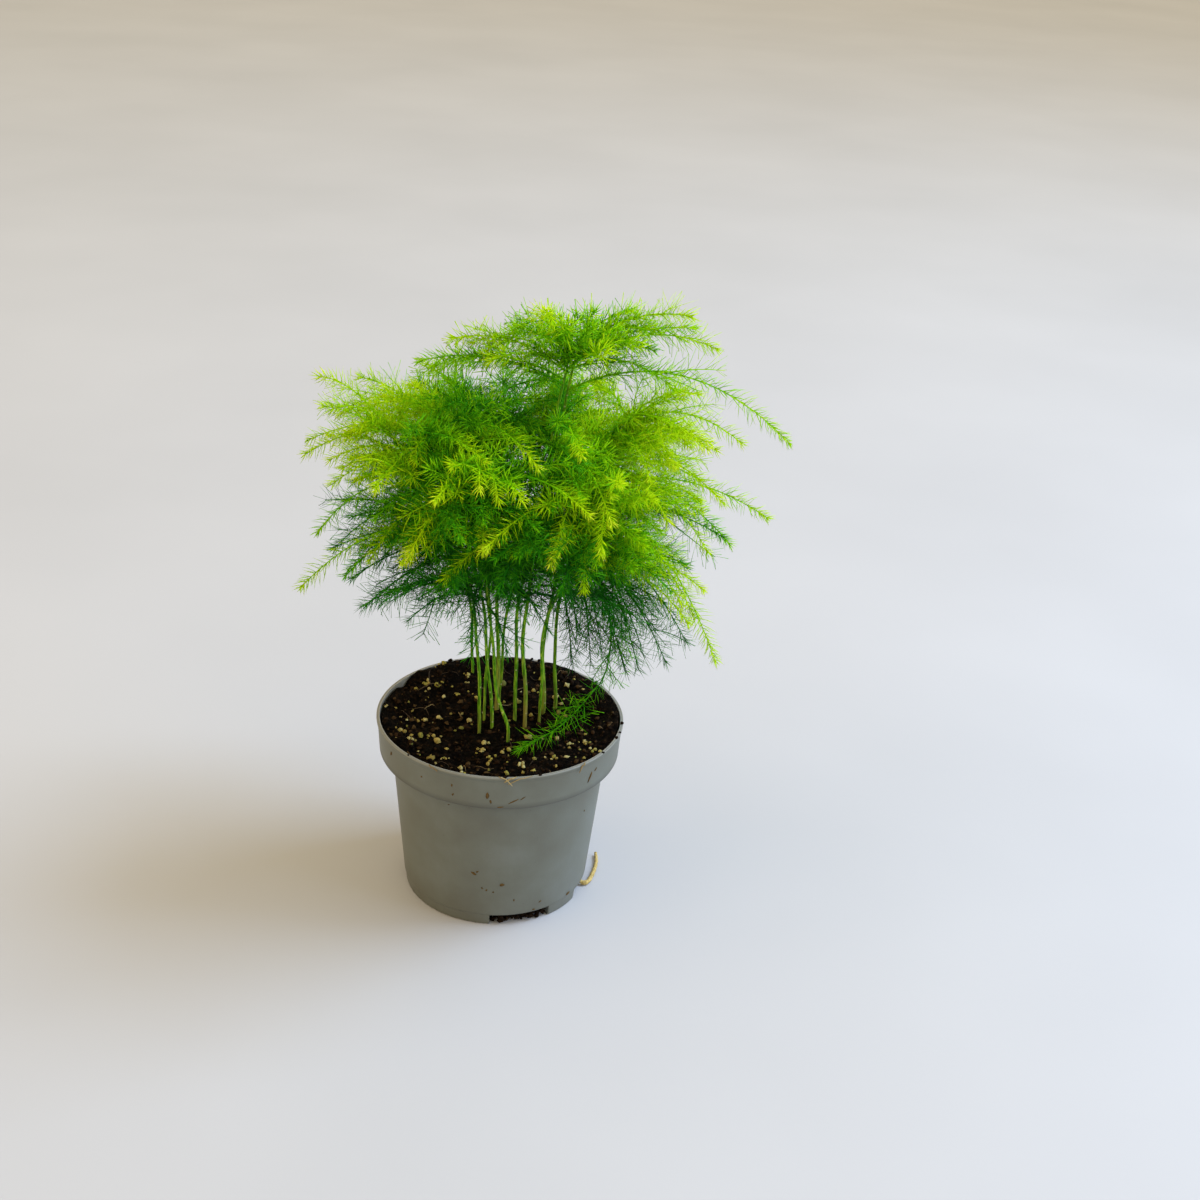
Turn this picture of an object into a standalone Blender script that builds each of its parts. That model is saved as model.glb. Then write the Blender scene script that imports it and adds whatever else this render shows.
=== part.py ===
"""Potted asparagus fern in a grey nursery pot.

Twelve wiry stems stand in holes in the peat. Each stem carries arching sprays, each spray has a slim
core with side twigs, and all of them bristle with three-sided needles. A stem with its sprays is one
solid. Lengths are in metres. The origin is the middle of the pot's flat base, +Z is up, +X is to the
right and -Y is to the front.
"""

import math
import random

import bmesh
import bpy
import numpy as np
from mathutils import kdtree

# Pot: a turned shell of thin plastic with a wide collar, on a flat base
POT_HEIGHT = 0.0924
RIM_RADIUS = 0.0600
RIM_BEAD_HEIGHT = 0.0018
RIM_BEAD_STEP = 0.0006
COLLAR_FOOT_Z = 0.0745
COLLAR_FOOT_RADIUS = 0.0584
WALL_TOP_RADIUS = 0.0524
BASE_RADIUS = 0.0449
FOOT_BAND_HEIGHT = 0.0056
FOOT_BAND_FLARE = 0.0010
WALL = 0.0010
FLOOR_THICKNESS = 0.0012
POT_SEGMENTS = 40

# Drainage pockets: raised steps in the edge of the base, in two opposite pairs.
# Azimuths are in degrees from the front towards +X.
POCKET_AZIMUTHS = (17.0, 80.5, 197.0, 260.5)
POCKET_HALF_ANGLE = 19.5
POCKET_HEIGHT = 0.0055
POCKET_INNER_RADIUS = 0.0360
POCKET_STEPS = 3
DRAIN_HALF_ANGLE = 9.0
DRAIN_INNER_RADIUS = 0.0385
DRAIN_OUTER_RADIUS = 0.0425

# Peat: fills the pot, low at the front left and heaped at the back right
GAP = 0.0003
PEAT_MEAN_HEIGHT = 0.0872
PEAT_HEAP = 0.0024
PEAT_LUMP = 0.0007
PEAT_RING_RADII = (0.051, 0.040, 0.027, 0.013)
GRAIN_COUNT = 42
GRAIN_SIZES = (0.0011, 0.0021)
GRAIN_FIELD_RADIUS = 0.052
GRAIN_SUNK = 0.35
GRAIN_STEM_CLEARANCE = 0.0045
HOLE_SIDES = 6

# Root strand that has grown out of the right drain hole and lies round the foot of the pot
STRAND_RADIUS = 0.0009
STRAND_TIP_RADIUS = 0.0005
STRAND_STEPS = 2
STRAND_POINTS = ((0.0400, -0.0067, 0.0066), (0.0412, -0.0071, 0.0042), (0.0440, -0.0085, 0.0014),
                 (0.0478, -0.0080, 0.0010), (0.0500, 0.0000, 0.0010), (0.0490, 0.0100, 0.0010),
                 (0.0462, 0.0185, 0.0010))

# Stems: foot (x, y), a point half way up, the top, and the radius at the foot
STEM_FOOT_Z = 0.0620
STEM_FREE_Z = 0.0940
STEM_TOP_RADIUS = 0.0006
STEM_SIDES = 5
STEM_STEPS = 3
STEMS = (
    ((-0.015, 0.045), (-0.018, 0.045, 0.132), (-0.046, 0.038, 0.240), 0.0010),
    ((-0.010, -0.009), (-0.015, -0.013, 0.160), (-0.054, -0.020, 0.246), 0.0012),
    ((-0.004, -0.005), (-0.010, -0.004, 0.150), (-0.032, -0.012, 0.252), 0.0012),
    ((-0.008, 0.003), (-0.007, 0.005, 0.150), (-0.020, 0.014, 0.249), 0.0009),
    ((-0.002, 0.010), (-0.003, 0.012, 0.145), (-0.004, 0.030, 0.250), 0.0015),
    ((-0.001, 0.018), (0.002, 0.022, 0.140), (0.018, 0.050, 0.238), 0.0011),
    ((0.004, -0.017), (-0.003, -0.016, 0.120), (-0.014, -0.042, 0.236), 0.0013),
    ((0.007, 0.002), (0.007, 0.003, 0.150), (0.030, 0.004, 0.282), 0.0013),
    ((0.012, -0.003), (0.010, -0.006, 0.150), (0.023, -0.020, 0.279), 0.0012),
    ((0.021, 0.009), (0.021, 0.009, 0.145), (0.052, -0.004, 0.252), 0.0016),
    ((0.027, 0.014), (0.026, 0.017, 0.142), (0.058, 0.034, 0.236), 0.0013),
    ((0.019, 0.001), (0.020, -0.006, 0.145), (0.044, -0.036, 0.222), 0.0011),
)

# Sprays that draw the outline: number of the stem, height on it, tip, and rise of the arch
OUTLINE_SPRAYS = (
    # crown
    (8, 0.276, (0.012, -0.048, 0.309), 0.004),
    (7, 0.279, (0.076, -0.014, 0.299), 0.006),
    (7, 0.272, (0.090, 0.002, 0.280), 0.009),
    (7, 0.258, (0.126, -0.002, 0.239), 0.019),
    (8, 0.270, (-0.036, 0.002, 0.266), 0.008),
    (8, 0.277, (-0.018, -0.014, 0.283), 0.007),
    (7, 0.276, (0.044, 0.054, 0.266), 0.006),
    (7, 0.274, (-0.006, 0.034, 0.272), 0.005),
    # right
    (9, 0.246, (0.102, -0.018, 0.244), 0.009),
    (9, 0.250, (0.084, -0.044, 0.250), 0.005),
    (9, 0.214, (0.120, 0.000, 0.201), 0.010),
    (10, 0.206, (0.106, 0.016, 0.180), 0.010),
    (9, 0.232, (0.094, -0.034, 0.222), 0.008),
    (9, 0.196, (0.099, -0.024, 0.138), 0.024),
    (11, 0.190, (0.088, -0.040, 0.182), 0.008),
    (10, 0.168, (0.080, 0.012, 0.117), 0.013),
    (11, 0.162, (0.066, -0.006, 0.146), 0.008),
    # left
    (1, 0.242, (-0.085, -0.002, 0.261), 0.006),
    (0, 0.222, (-0.096, 0.036, 0.216), 0.006),
    (0, 0.234, (-0.078, 0.052, 0.226), 0.005),
    (2, 0.236, (-0.089, -0.022, 0.232), 0.009),
    (1, 0.196, (-0.090, -0.040, 0.176), 0.011),
    (0, 0.186, (-0.082, 0.020, 0.168), 0.009),
    (1, 0.166, (-0.067, 0.000, 0.148), 0.006),
    (2, 0.180, (-0.062, -0.036, 0.166), 0.006),
    # front
    (6, 0.230, (0.034, -0.072, 0.229), 0.009),
    (6, 0.226, (0.006, -0.076, 0.236), 0.007),
    (6, 0.220, (-0.030, -0.074, 0.234), 0.008),
    (2, 0.206, (-0.044, -0.062, 0.200), 0.009),
    (6, 0.200, (-0.010, -0.070, 0.210), 0.010),
    (11, 0.200, (0.020, -0.068, 0.208), 0.009),
    (8, 0.246, (0.030, -0.064, 0.252), 0.006),
    (11, 0.214, (0.046, -0.068, 0.242), 0.006),
    # back
    (5, 0.226, (0.010, 0.094, 0.214), 0.007),
    (5, 0.200, (0.046, 0.088, 0.188), 0.007),
    (0, 0.206, (-0.042, 0.092, 0.196), 0.006),
    (3, 0.240, (-0.024, 0.072, 0.226), 0.006),
    (10, 0.216, (0.072, 0.082, 0.198), 0.007),
    (4, 0.182, (-0.010, 0.086, 0.166), 0.007),
)

# Shorter sprays that fill the crown between them, placed by a rule inside a rounded head
SPRAYS_PER_STEM = 5
FEWEST_FILLERS = 1
FILLER_SEED = 1
FILLER_LOWEST = 0.160
FILLER_CROWDING = 0.7
HEAD_CENTRE = (0.010, 0.004, 0.212)
HEAD_RADII = (0.092, 0.090, 0.074)
FILLER_LENGTHS = (0.038, 0.078)
GOLDEN_RATIO = 0.618
LEADER_LENGTH = 0.030

# One long spray hangs from the tenth stem and ends lying on the peat
TRAILING_STEM = 10
TRAILING_HEIGHT = 0.166
TRAILING_POINTS = ((0.044, 0.012, 0.160), (0.052, 0.012, 0.134), (0.051, 0.016, 0.108),
                   (0.044, 0.014, 0.0965), (0.029, -0.014, 0.0945), (0.009, -0.036, 0.0935))

# Spacing of the sprays' cores
AXIS_STEP = 0.0026
AXIS_GAP = 0.0032
STEM_AXIS_GAP = 0.0042
EASE_ROUNDS = 60

# Cores and needles
SPRAY_ROOT_RADIUS = 0.00065
SPRAY_TIP_RADIUS = 0.00045
TWIG_RADIUS = 0.00045
TWIG_SPARE = 0.0004
SPRAY_BARE = 0.006
TWIG_BARE = 0.003
SPRAY_PITCH = 0.0094
TWIG_PITCH = 0.0072
NEEDLE_LENGTH = 0.0080
NEEDLE_BAND = 0.0010
NEEDLE_LEAN = math.radians(52)
NEEDLE_SHORTEST = 0.0028
NEEDLE_HOLDS_BACK = 0.12
TIP_NEEDLES_FROM = 0.6
TIP_NEEDLES_SHORTER = 0.35
ROOT_CONE = 1.4
BAND_TWIST = math.radians(60)
TIP_LENGTH = 0.0050
TWIG_SHARE = 0.30
TWIG_LONGEST = 0.021
TWIG_PLACES = (0.34, 0.56)
TWIG_LEAN = math.radians(50)
TWIG_FROM = (0.046, 0.078)
OWN_GAP = 0.0001
PEAT_CLEARANCE = 0.0022

POT_GREY = (0.145, 0.150, 0.140, 1.0)
PEAT_BROWN = (0.035, 0.022, 0.014, 1.0)
STRAND_TAN = (0.48, 0.30, 0.14, 1.0)
LIME_GREEN = (0.26, 0.52, 0.010, 1.0)
LEAF_GREEN = (0.090, 0.330, 0.012, 1.0)
DEEP_GREEN = (0.020, 0.140, 0.020, 1.0)


def clear_scene():
    """Removes whatever the file opens with."""
    for old in list(bpy.data.objects):
        bpy.data.objects.remove(old, do_unlink=True)


def finish(name, colour, roughness):
    """Makes a plain material."""
    material = bpy.data.materials.new(name)
    material.use_nodes = True
    shader = material.node_tree.nodes["Principled BSDF"]
    shader.inputs["Base Color"].default_value = colour
    shader.inputs["Roughness"].default_value = roughness
    shader.inputs["Metallic"].default_value = 0.0
    material.diffuse_color = colour
    return material


def add_mesh(name, points, faces, material=None, collection=None):
    """Makes a mesh object from points and faces, with doubled points welded and faces facing out."""
    mesh = bpy.data.meshes.new(name)
    mesh.from_pydata([tuple(map(float, p)) for p in points], [], faces)
    shape = bmesh.new()
    shape.from_mesh(mesh)
    bmesh.ops.remove_doubles(shape, verts=shape.verts, dist=1e-7)
    bmesh.ops.recalc_face_normals(shape, faces=shape.faces)
    shape.to_mesh(mesh)
    shape.free()
    if material:
        mesh.materials.append(material)
    thing = bpy.data.objects.new(name, mesh)
    (collection or bpy.context.scene.collection).objects.link(thing)
    return thing


def turned(profile, segments, start=0.0, sweep=math.tau):
    """Turns a closed outline of (radius, height) about Z. Angles run from -Y towards +X."""
    full = math.isclose(sweep, math.tau)
    rings = segments if full else segments + 1
    count = len(profile)
    points = []
    for ring in range(rings):
        angle = start + sweep * ring / segments
        points += [(r * math.sin(angle), -r * math.cos(angle), z) for r, z in profile]
    faces = []
    for ring in range(segments):
        here = ring * count
        there = (ring + 1) % rings * count
        for i in range(count):
            j = (i + 1) % count
            faces.append((here + i, here + j, there + j, there + i))
    if not full:
        faces.append(tuple(range(count)))
        faces.append(tuple(range((rings - 1) * count, rings * count)))
    return points, faces


def cut(target, cutter, operation):
    """Adds one Boolean to the target and hides its cutter."""
    cutter.hide_render = True
    cutter.display_type = "WIRE"
    modifier = target.modifiers.new(cutter.name, "BOOLEAN")
    modifier.operation = operation
    modifier.object = cutter
    modifier.solver = "EXACT"


def join_all(target, parts):
    """Joins a collection of closed parts to the target with one Boolean union, and removes them."""
    modifier = target.modifiers.new("join", "BOOLEAN")
    modifier.operation = "UNION"
    modifier.operand_type = "COLLECTION"
    modifier.collection = parts
    modifier.solver = "EXACT"
    graph = bpy.context.evaluated_depsgraph_get()
    joined = bpy.data.meshes.new_from_object(target.evaluated_get(graph))
    target.modifiers.clear()
    target.data = joined
    for part in list(parts.objects):
        bpy.data.objects.remove(part, do_unlink=True)
    bpy.data.collections.remove(parts)


def new_collection(name):
    """Makes a collection in the scene."""
    group = bpy.data.collections.new(name)
    bpy.context.scene.collection.children.link(group)
    return group


def make_pot():
    """Turns the thin shell, then steps the drainage pockets into the edge of its base."""
    band_top = BASE_RADIUS + FOOT_BAND_FLARE
    bead_z = POT_HEIGHT - RIM_BEAD_HEIGHT
    collar_top = RIM_RADIUS - RIM_BEAD_STEP
    shell = (
        (0.0, 0.0),
        (BASE_RADIUS, 0.0),
        (band_top - 0.0004, FOOT_BAND_HEIGHT),
        (band_top, FOOT_BAND_HEIGHT + 0.0006),
        (WALL_TOP_RADIUS, COLLAR_FOOT_Z),
        (COLLAR_FOOT_RADIUS - 0.0004, COLLAR_FOOT_Z),
        (COLLAR_FOOT_RADIUS, COLLAR_FOOT_Z + 0.0005),
        (collar_top, bead_z - 0.0003),
        (RIM_RADIUS, bead_z + 0.0003),
        (RIM_RADIUS, POT_HEIGHT - 0.0003),
        (RIM_RADIUS - 0.0004, POT_HEIGHT),
        (collar_top - WALL + 0.0003, POT_HEIGHT),
        (collar_top - WALL, bead_z),
        (COLLAR_FOOT_RADIUS - WALL, COLLAR_FOOT_Z + FLOOR_THICKNESS),
        (WALL_TOP_RADIUS - WALL, COLLAR_FOOT_Z + FLOOR_THICKNESS),
        (BASE_RADIUS - WALL + 0.0002, FLOOR_THICKNESS),
        (0.0, FLOOR_THICKNESS),
    )
    pot = add_mesh("pot", *turned(shell, POT_SEGMENTS), finish("grey plastic", POT_GREY, 0.55))
    for number, azimuth in enumerate(POCKET_AZIMUTHS):
        block = ring_sector(azimuth, POCKET_HALF_ANGLE + 1.5, POCKET_INNER_RADIUS - FLOOR_THICKNESS,
                            BASE_RADIUS + 0.0004, 0.0006, POCKET_HEIGHT + FLOOR_THICKNESS)
        pocket = ring_sector(azimuth, POCKET_HALF_ANGLE, POCKET_INNER_RADIUS,
                             WALL_TOP_RADIUS, -0.001, POCKET_HEIGHT)
        drain = ring_sector(azimuth, DRAIN_HALF_ANGLE, DRAIN_INNER_RADIUS,
                            DRAIN_OUTER_RADIUS, POCKET_HEIGHT - 0.001, POCKET_HEIGHT + 0.003)
        cut(pot, add_mesh(f"pocket_block_{number}", *block), "UNION")
        cut(pot, add_mesh(f"pocket_{number}", *pocket), "DIFFERENCE")
        cut(pot, add_mesh(f"drain_{number}", *drain), "DIFFERENCE")


def ring_sector(azimuth, half_angle, inner, outer, low, high):
    """Gives a block bounded by two radii, two heights and two azimuths in degrees."""
    outline = ((inner, low), (outer, low), (outer, high), (inner, high))
    start = math.radians(azimuth - half_angle)
    return turned(outline, POCKET_STEPS, start, math.radians(2 * half_angle))


def peat_height(x, y):
    """Gives the height of the peat: a tilt towards the back right with soft lumps on it."""
    reach = COLLAR_FOOT_RADIUS
    tilt = PEAT_HEAP * (0.62 * x + 0.78 * y) / reach
    heap = 0.9 * PEAT_HEAP * max(0.0, y / reach) ** 2
    lumps = math.sin(210 * x + 1.3) * math.cos(170 * y - 0.4) + 0.6 * math.sin(390 * x - 310 * y)
    return PEAT_MEAN_HEIGHT + tilt + heap + PEAT_LUMP * lumps


def make_peat():
    """Turns the root ball to the pot's inside, lifts its top to the relief and adds the grains."""
    inner_foot = BASE_RADIUS - WALL - GAP
    ledge = COLLAR_FOOT_Z + FLOOR_THICKNESS + GAP
    pocket_top = POCKET_HEIGHT + FLOOR_THICKNESS + GAP
    core_radius = POCKET_INNER_RADIUS - FLOOR_THICKNESS - GAP
    top_radius = COLLAR_FOOT_RADIUS - WALL - GAP + 0.0005
    outline = [
        (0.0, FLOOR_THICKNESS + GAP),
        (core_radius, FLOOR_THICKNESS + GAP),
        (core_radius, pocket_top),
        (inner_foot + 0.0004, pocket_top),
        (WALL_TOP_RADIUS - WALL - GAP, ledge),
        (COLLAR_FOOT_RADIUS - WALL - GAP, ledge),
        (top_radius, PEAT_MEAN_HEIGHT),
    ]
    outline += [(r, PEAT_MEAN_HEIGHT) for r in PEAT_RING_RADII] + [(0.0, PEAT_MEAN_HEIGHT)]
    points, faces = turned(outline, POT_SEGMENTS)
    points = [(x, y, peat_height(x, y) if z == PEAT_MEAN_HEIGHT else z) for x, y, z in points]
    peat = add_mesh("peat", points, faces, finish("peat", PEAT_BROWN, 0.95))
    grains = new_collection("grains")
    for number, (place, radius, turn, squash) in enumerate(grain_places()):
        grain_points, grain_faces = grain(place, radius, turn, squash)
        add_mesh(f"grain_{number}", grain_points, grain_faces, None, grains)
    join_all(peat, grains)
    for number, (foot, _, _, radius) in enumerate(STEMS):
        hole_radius = (radius + GAP) / math.cos(math.pi / HOLE_SIDES)
        low, high = STEM_FOOT_Z - GAP, STEM_FREE_Z + 0.004
        outline = ((0.0, low), (hole_radius, low), (hole_radius, high), (0.0, high))
        hole_points, hole_faces = turned(outline, HOLE_SIDES)
        moved = [(x + foot[0], y + foot[1], z) for x, y, z in hole_points]
        cut(peat, add_mesh(f"stem_hole_{number}", moved, hole_faces), "DIFFERENCE")


def grain_places():
    """Scatters the perlite over the peat, clear of the stems and of the trailing spray's bed."""
    rng = random.Random(21)
    placed = []
    while len(placed) < GRAIN_COUNT:
        distance = GRAIN_FIELD_RADIUS * math.sqrt(rng.random())
        angle = rng.uniform(0, math.tau)
        x, y = distance * math.cos(angle), distance * math.sin(angle)
        radius = rng.uniform(*GRAIN_SIZES)
        clear = all(math.dist((x, y), stem[0]) > GRAIN_STEM_CLEARANCE + radius for stem in STEMS)
        apart = all(math.dist((x, y), other[0][:2]) > 1.6 * (radius + other[1]) for other in placed)
        if clear and apart:
            z = peat_height(x, y) + radius * (1 - 2 * GRAIN_SUNK) * 0.5
            placed.append(((x, y, z), radius, rng.uniform(0, math.tau), rng.uniform(0.6, 0.9)))
    return placed


def grain(place, radius, turn, squash):
    """Gives one eight-faced grain, flattened and turned."""
    corners = [(math.cos(turn + k * math.pi / 2), math.sin(turn + k * math.pi / 2), 0.15 * (-1) ** k)
               for k in range(4)]
    corners = [(c[0] * (1.1 if k % 2 else 0.8), c[1] * (1.1 if k % 2 else 0.8), c[2])
               for k, c in enumerate(corners)] + [(0.1, 0.05, squash), (0.0, 0.0, -0.9)]
    points = [tuple(place[a] + radius * corner[a] for a in range(3)) for corner in corners]
    faces = [(k, (k + 1) % 4, 4) for k in range(4)] + [((k + 1) % 4, k, 5) for k in range(4)]
    return points, faces


def smooth_path(knots, steps):
    """Draws a smooth curve through the knots."""
    knots = np.asarray(knots, float)
    padded = np.vstack([2 * knots[0] - knots[1], knots, 2 * knots[-1] - knots[-2]])
    pieces = []
    for i in range(len(knots) - 1):
        a, b, c, d = padded[i:i + 4]
        t = np.linspace(0, 1, steps, endpoint=False)[:, None]
        pieces.append(0.5 * (2 * b + (c - a) * t + (2 * a - 5 * b + 4 * c - d) * t ** 2
                             + (3 * b - a - 3 * c + d) * t ** 3))
    return np.vstack(pieces + [knots[-1:]])


def resample(path, step):
    """Spaces the points of a path evenly, about a step apart."""
    travelled = np.concatenate([[0], np.cumsum(np.linalg.norm(np.diff(path, axis=0), axis=1))])
    places = np.linspace(0, travelled[-1], max(4, round(travelled[-1] / step)) + 1)
    return np.stack([np.interp(places, travelled, path[:, a]) for a in range(3)], 1)


def stem_path(stem):
    """Runs a stem straight up out of its hole, then in a bow over its middle to its top."""
    (x, y), middle, top, _ = stem
    middle, top = np.array(middle), np.array(top)
    shoulder = 0.42 * middle + 0.58 * top + np.array([0, 0, 0.004])
    free = smooth_path([(x, y, STEM_FREE_Z), middle, shoulder, top], STEM_STEPS)
    return np.vstack([[(x, y, STEM_FOOT_Z)], free])


def point_at_height(path, height):
    """Finds the place on a stem at a height."""
    return np.array([np.interp(height, path[:, 2], path[:, a]) for a in range(3)])


def arch(root, tip, rise):
    """Gives a spray's axis: straight from root to tip, lifted by a parabola."""
    t = np.linspace(0, 1, 24)[:, None]
    axis = root + (np.array(tip) - root) * t
    axis[:, 2:] += rise * 4 * t * (1 - t)
    return resample(axis, AXIS_STEP)


def filler_sprays(stems):
    """Sends a few shorter sprays from each stem towards the skin of the rounded head."""
    rng = random.Random(FILLER_SEED)
    centre, radii = np.array(HEAD_CENTRE), np.array(HEAD_RADII)
    sprays = []
    for number, path in enumerate(stems):
        top = path[-1, 2] - 0.006
        drawn = sum(1 for spray in OUTLINE_SPRAYS if spray[0] == number)
        count = max(FEWEST_FILLERS, SPRAYS_PER_STEM - drawn)
        for k in range(count):
            share = ((k + 0.7 * rng.random()) / count) ** FILLER_CROWDING
            height = FILLER_LOWEST + (top - FILLER_LOWEST) * share
            root = point_at_height(path, height)
            outward = math.atan2(root[1] - centre[1], root[0] - centre[0])
            turn = (k + 0.37 * number) * GOLDEN_RATIO % 1 - 0.5
            azimuth = outward + math.radians(250) * turn
            course = np.array([math.cos(azimuth), math.sin(azimuth), 0.12])
            ahead, offset = course / radii, (root - centre) / radii
            a, b, c = ahead @ ahead, offset @ ahead, offset @ offset - 1
            reach = (-b + math.sqrt(max(b * b - a * c, 0))) / a
            length = min(max(reach, FILLER_LENGTHS[0]), FILLER_LENGTHS[1])
            tip = root + course * length
            tip[2] -= 0.12 * length + rng.uniform(0, 0.006)
            sprays.append((number, height, tuple(tip), 0.10 * length))
    return sprays


def leaders(stems):
    """Lets each stem run on past its top as a short spray that leans over."""
    sprays = []
    for number, path in enumerate(stems):
        course = unit(path[-1] - path[-2])
        level = unit(course * (1, 1, 0) + (1e-6, 0, 0))
        tip = path[-1] + LEADER_LENGTH * (0.35 * course + 0.75 * level)
        sprays.append((number, path[-1, 2] - 0.006, tuple(tip), 0.10 * LEADER_LENGTH))
    return sprays


def spray_axes(stems):
    """Lists each spray as the number of its stem and its axis."""
    sprays = []
    for number, height, tip, rise in [*OUTLINE_SPRAYS, *filler_sprays(stems), *leaders(stems)]:
        sprays.append((number, arch(point_at_height(stems[number], height), tip, rise)))
    root = point_at_height(stems[TRAILING_STEM], TRAILING_HEIGHT)
    trailing = smooth_path([root, *TRAILING_POINTS], 8)
    sprays.append((TRAILING_STEM, resample(trailing, AXIS_STEP)))
    return sprays


def ease_apart(stems, sprays):
    """Pushes the sprays' axes apart until none passes another, or a foreign stem, too closely."""
    owners = [number for number, _ in sprays]
    axes = [axis.copy() for _, axis in sprays]
    fixed = [(point, -1 - number, 1.0) for number, path in enumerate(stems)
             for point in resample(path, AXIS_STEP)]
    for _ in range(EASE_ROUNDS):
        marks = list(fixed)
        for k, axis in enumerate(axes):
            marks += [(point, k, i * AXIS_STEP) for i, point in enumerate(axis)]
        tree = kdtree.KDTree(len(marks))
        for index, mark in enumerate(marks):
            tree.insert(mark[0], index)
        tree.balance()
        moved = False
        for k, axis in enumerate(axes):
            shift = np.zeros_like(axis)
            for i in range(1, len(axis)):
                for near, index, distance in tree.find_range(axis[i], STEM_AXIS_GAP):
                    other, travelled = marks[index][1:]
                    gap = AXIS_GAP if other >= 0 else STEM_AXIS_GAP
                    sibling = other >= 0 and owners[other] == owners[k]
                    if other == k or other == -1 - owners[k] or distance > gap:
                        continue
                    if sibling and (i < 5 or travelled < 5 * AXIS_STEP):
                        continue
                    away = axis[i] - np.array(near)
                    shift[i] += away / (distance + 1e-9) * (gap - distance) * 0.5
                    moved = True
            for _ in range(2):
                shift[1:-1] = 0.25 * shift[:-2] + 0.5 * shift[1:-1] + 0.25 * shift[2:]
            shift *= np.clip(np.arange(len(axis)) / 4, 0, 1)[:, None]
            axes[k] = axis + shift
        if not moved:
            break
    return axes, owners


def unit(vector):
    """Scales a vector to length one."""
    return vector / np.linalg.norm(vector)


def along(path, places):
    """Gives points and directions at distances along a path."""
    travelled = np.concatenate([[0], np.cumsum(np.linalg.norm(np.diff(path, axis=0), axis=1))])
    points = np.stack([np.interp(places, travelled, path[:, a]) for a in range(3)], 1)
    slopes = np.gradient(path, axis=0)
    courses = np.stack([np.interp(places, travelled, slopes[:, a]) for a in range(3)], 1)
    return points, courses / np.linalg.norm(courses, axis=1)[:, None]


def path_length(path):
    """Measures a path."""
    return float(np.linalg.norm(np.diff(path, axis=0), axis=1).sum())


class Bristle:
    """A slim three-sided core with bands of needles, as rings along a path."""

    def __init__(self, frond, path, root_radius, tip_radius, bare, pitch, twist):
        self.frond = frond
        length = path_length(path)
        bands = max(1, round((length - TIP_LENGTH - bare) / pitch))
        starts = np.linspace(bare, length - TIP_LENGTH, bands)
        cone = ROOT_CONE * root_radius
        places = np.sort(np.concatenate([[0.0, cone], starts, starts + NEEDLE_BAND]))
        self.points, self.courses = along(path, places)
        self.tip = path[-1]
        share = places / length
        self.radii = root_radius + (tip_radius - root_radius) * share
        self.twists = [twist]
        for ring in range(1, len(places)):
            gap_band = ring >= 2 and ring % 2 == 0
            self.twists.append(self.twists[-1] + (BAND_TWIST if gap_band else 0.0))
        self.needles = []
        self.rings = [self.ring(i) for i in range(len(places))]
        for ring in range(2, len(places), 2):
            tipward = max(0.0, share[ring] - TIP_NEEDLES_FROM) / (1 - TIP_NEEDLES_FROM)
            reach = NEEDLE_LENGTH * (1 - TIP_NEEDLES_SHORTER * tipward)
            for side in range(3):
                self.needles.append(self.needle(ring, side, reach))

    def ring(self, i):
        """Gives the three corners of a ring."""
        course = self.courses[i]
        across = unit(np.cross(course, (0.0, 0.0, 1.0)) + 1e-6)
        upward = np.cross(across, course)
        turns = [self.twists[i] + k * math.tau / 3 for k in range(3)]
        return [self.points[i] + self.radii[i] * (math.cos(a) * across + math.sin(a) * upward)
                for a in turns]

    def needle(self, ring, side, reach):
        """Gives one needle as its foot, its tip, and the quad it is drawn out of."""
        low, high = self.rings[ring], self.rings[ring + 1]
        nxt = (side + 1) % 3
        foot = (low[side] + low[nxt] + high[side] + high[nxt]) / 4
        course = self.courses[ring]
        out = foot - self.points[ring]
        out = unit(out - course * (out @ course))
        tip = foot + reach * (math.cos(NEEDLE_LEAN) * course + math.sin(NEEDLE_LEAN) * out)
        return {"ring": ring, "side": side, "foot": foot, "tip": tip, "keep": 1.0}

    def solid(self):
        """Gives the core's points and faces, with the kept needles drawn out of their quads."""
        points = [self.points[0]]
        for ring in self.rings[1:]:
            points += ring
        points.append(self.tip)
        last = len(points) - 1
        drawn = {(n["ring"], n["side"]): n for n in self.needles if n["keep"] > 0}
        faces = [(0, 1 + (k + 1) % 3, 1 + k) for k in range(3)]
        for ring in range(1, len(self.rings) - 1):
            for k in range(3):
                a, b = 1 + (ring - 1) * 3 + k, 1 + (ring - 1) * 3 + (k + 1) % 3
                c, d = b + 3, a + 3
                needle = drawn.get((ring, k))
                if needle:
                    points.append(needle["foot"] + (needle["tip"] - needle["foot"]) * needle["keep"])
                    top = len(points) - 1
                    faces += [(a, b, top), (b, c, top), (c, d, top), (d, a, top)]
                else:
                    faces += [(a, b, d), (b, c, d)]
        end = 1 + (len(self.rings) - 2) * 3
        faces += [(end + k, end + (k + 1) % 3, last) for k in range(3)]
        return points, faces


def twigs(bristle, rng):
    """Grows one or two side twigs on a spray's core, each offered to both sides."""
    core = np.vstack([*bristle.points, bristle.tip])
    length = path_length(core)
    places = TWIG_PLACES[:sum(length > shortest for shortest in TWIG_FROM)]
    grown = []
    side = rng.choice((-1, 1))
    for place in places:
        roots, courses = along(core, np.array([place * length]))
        course = courses[0]
        across = unit(np.cross(course, (0.0, 0.0, 1.0)) + 1e-6)
        reach = min(TWIG_SHARE * length, TWIG_LONGEST)
        for turn in (side, -side):
            heading = math.cos(TWIG_LEAN) * course + math.sin(TWIG_LEAN) * turn * across
            heading = unit(heading + np.array([0, 0, rng.uniform(-0.2, 0.25)]))
            t = np.linspace(0, 1, 8)[:, None]
            twig = roots[0] + reach * (heading * t + 0.12 * course * t ** 2)
            twig[:, 2:] -= 0.10 * reach * t ** 2
            grown.append(twig)
        side = -side
    return grown


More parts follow.
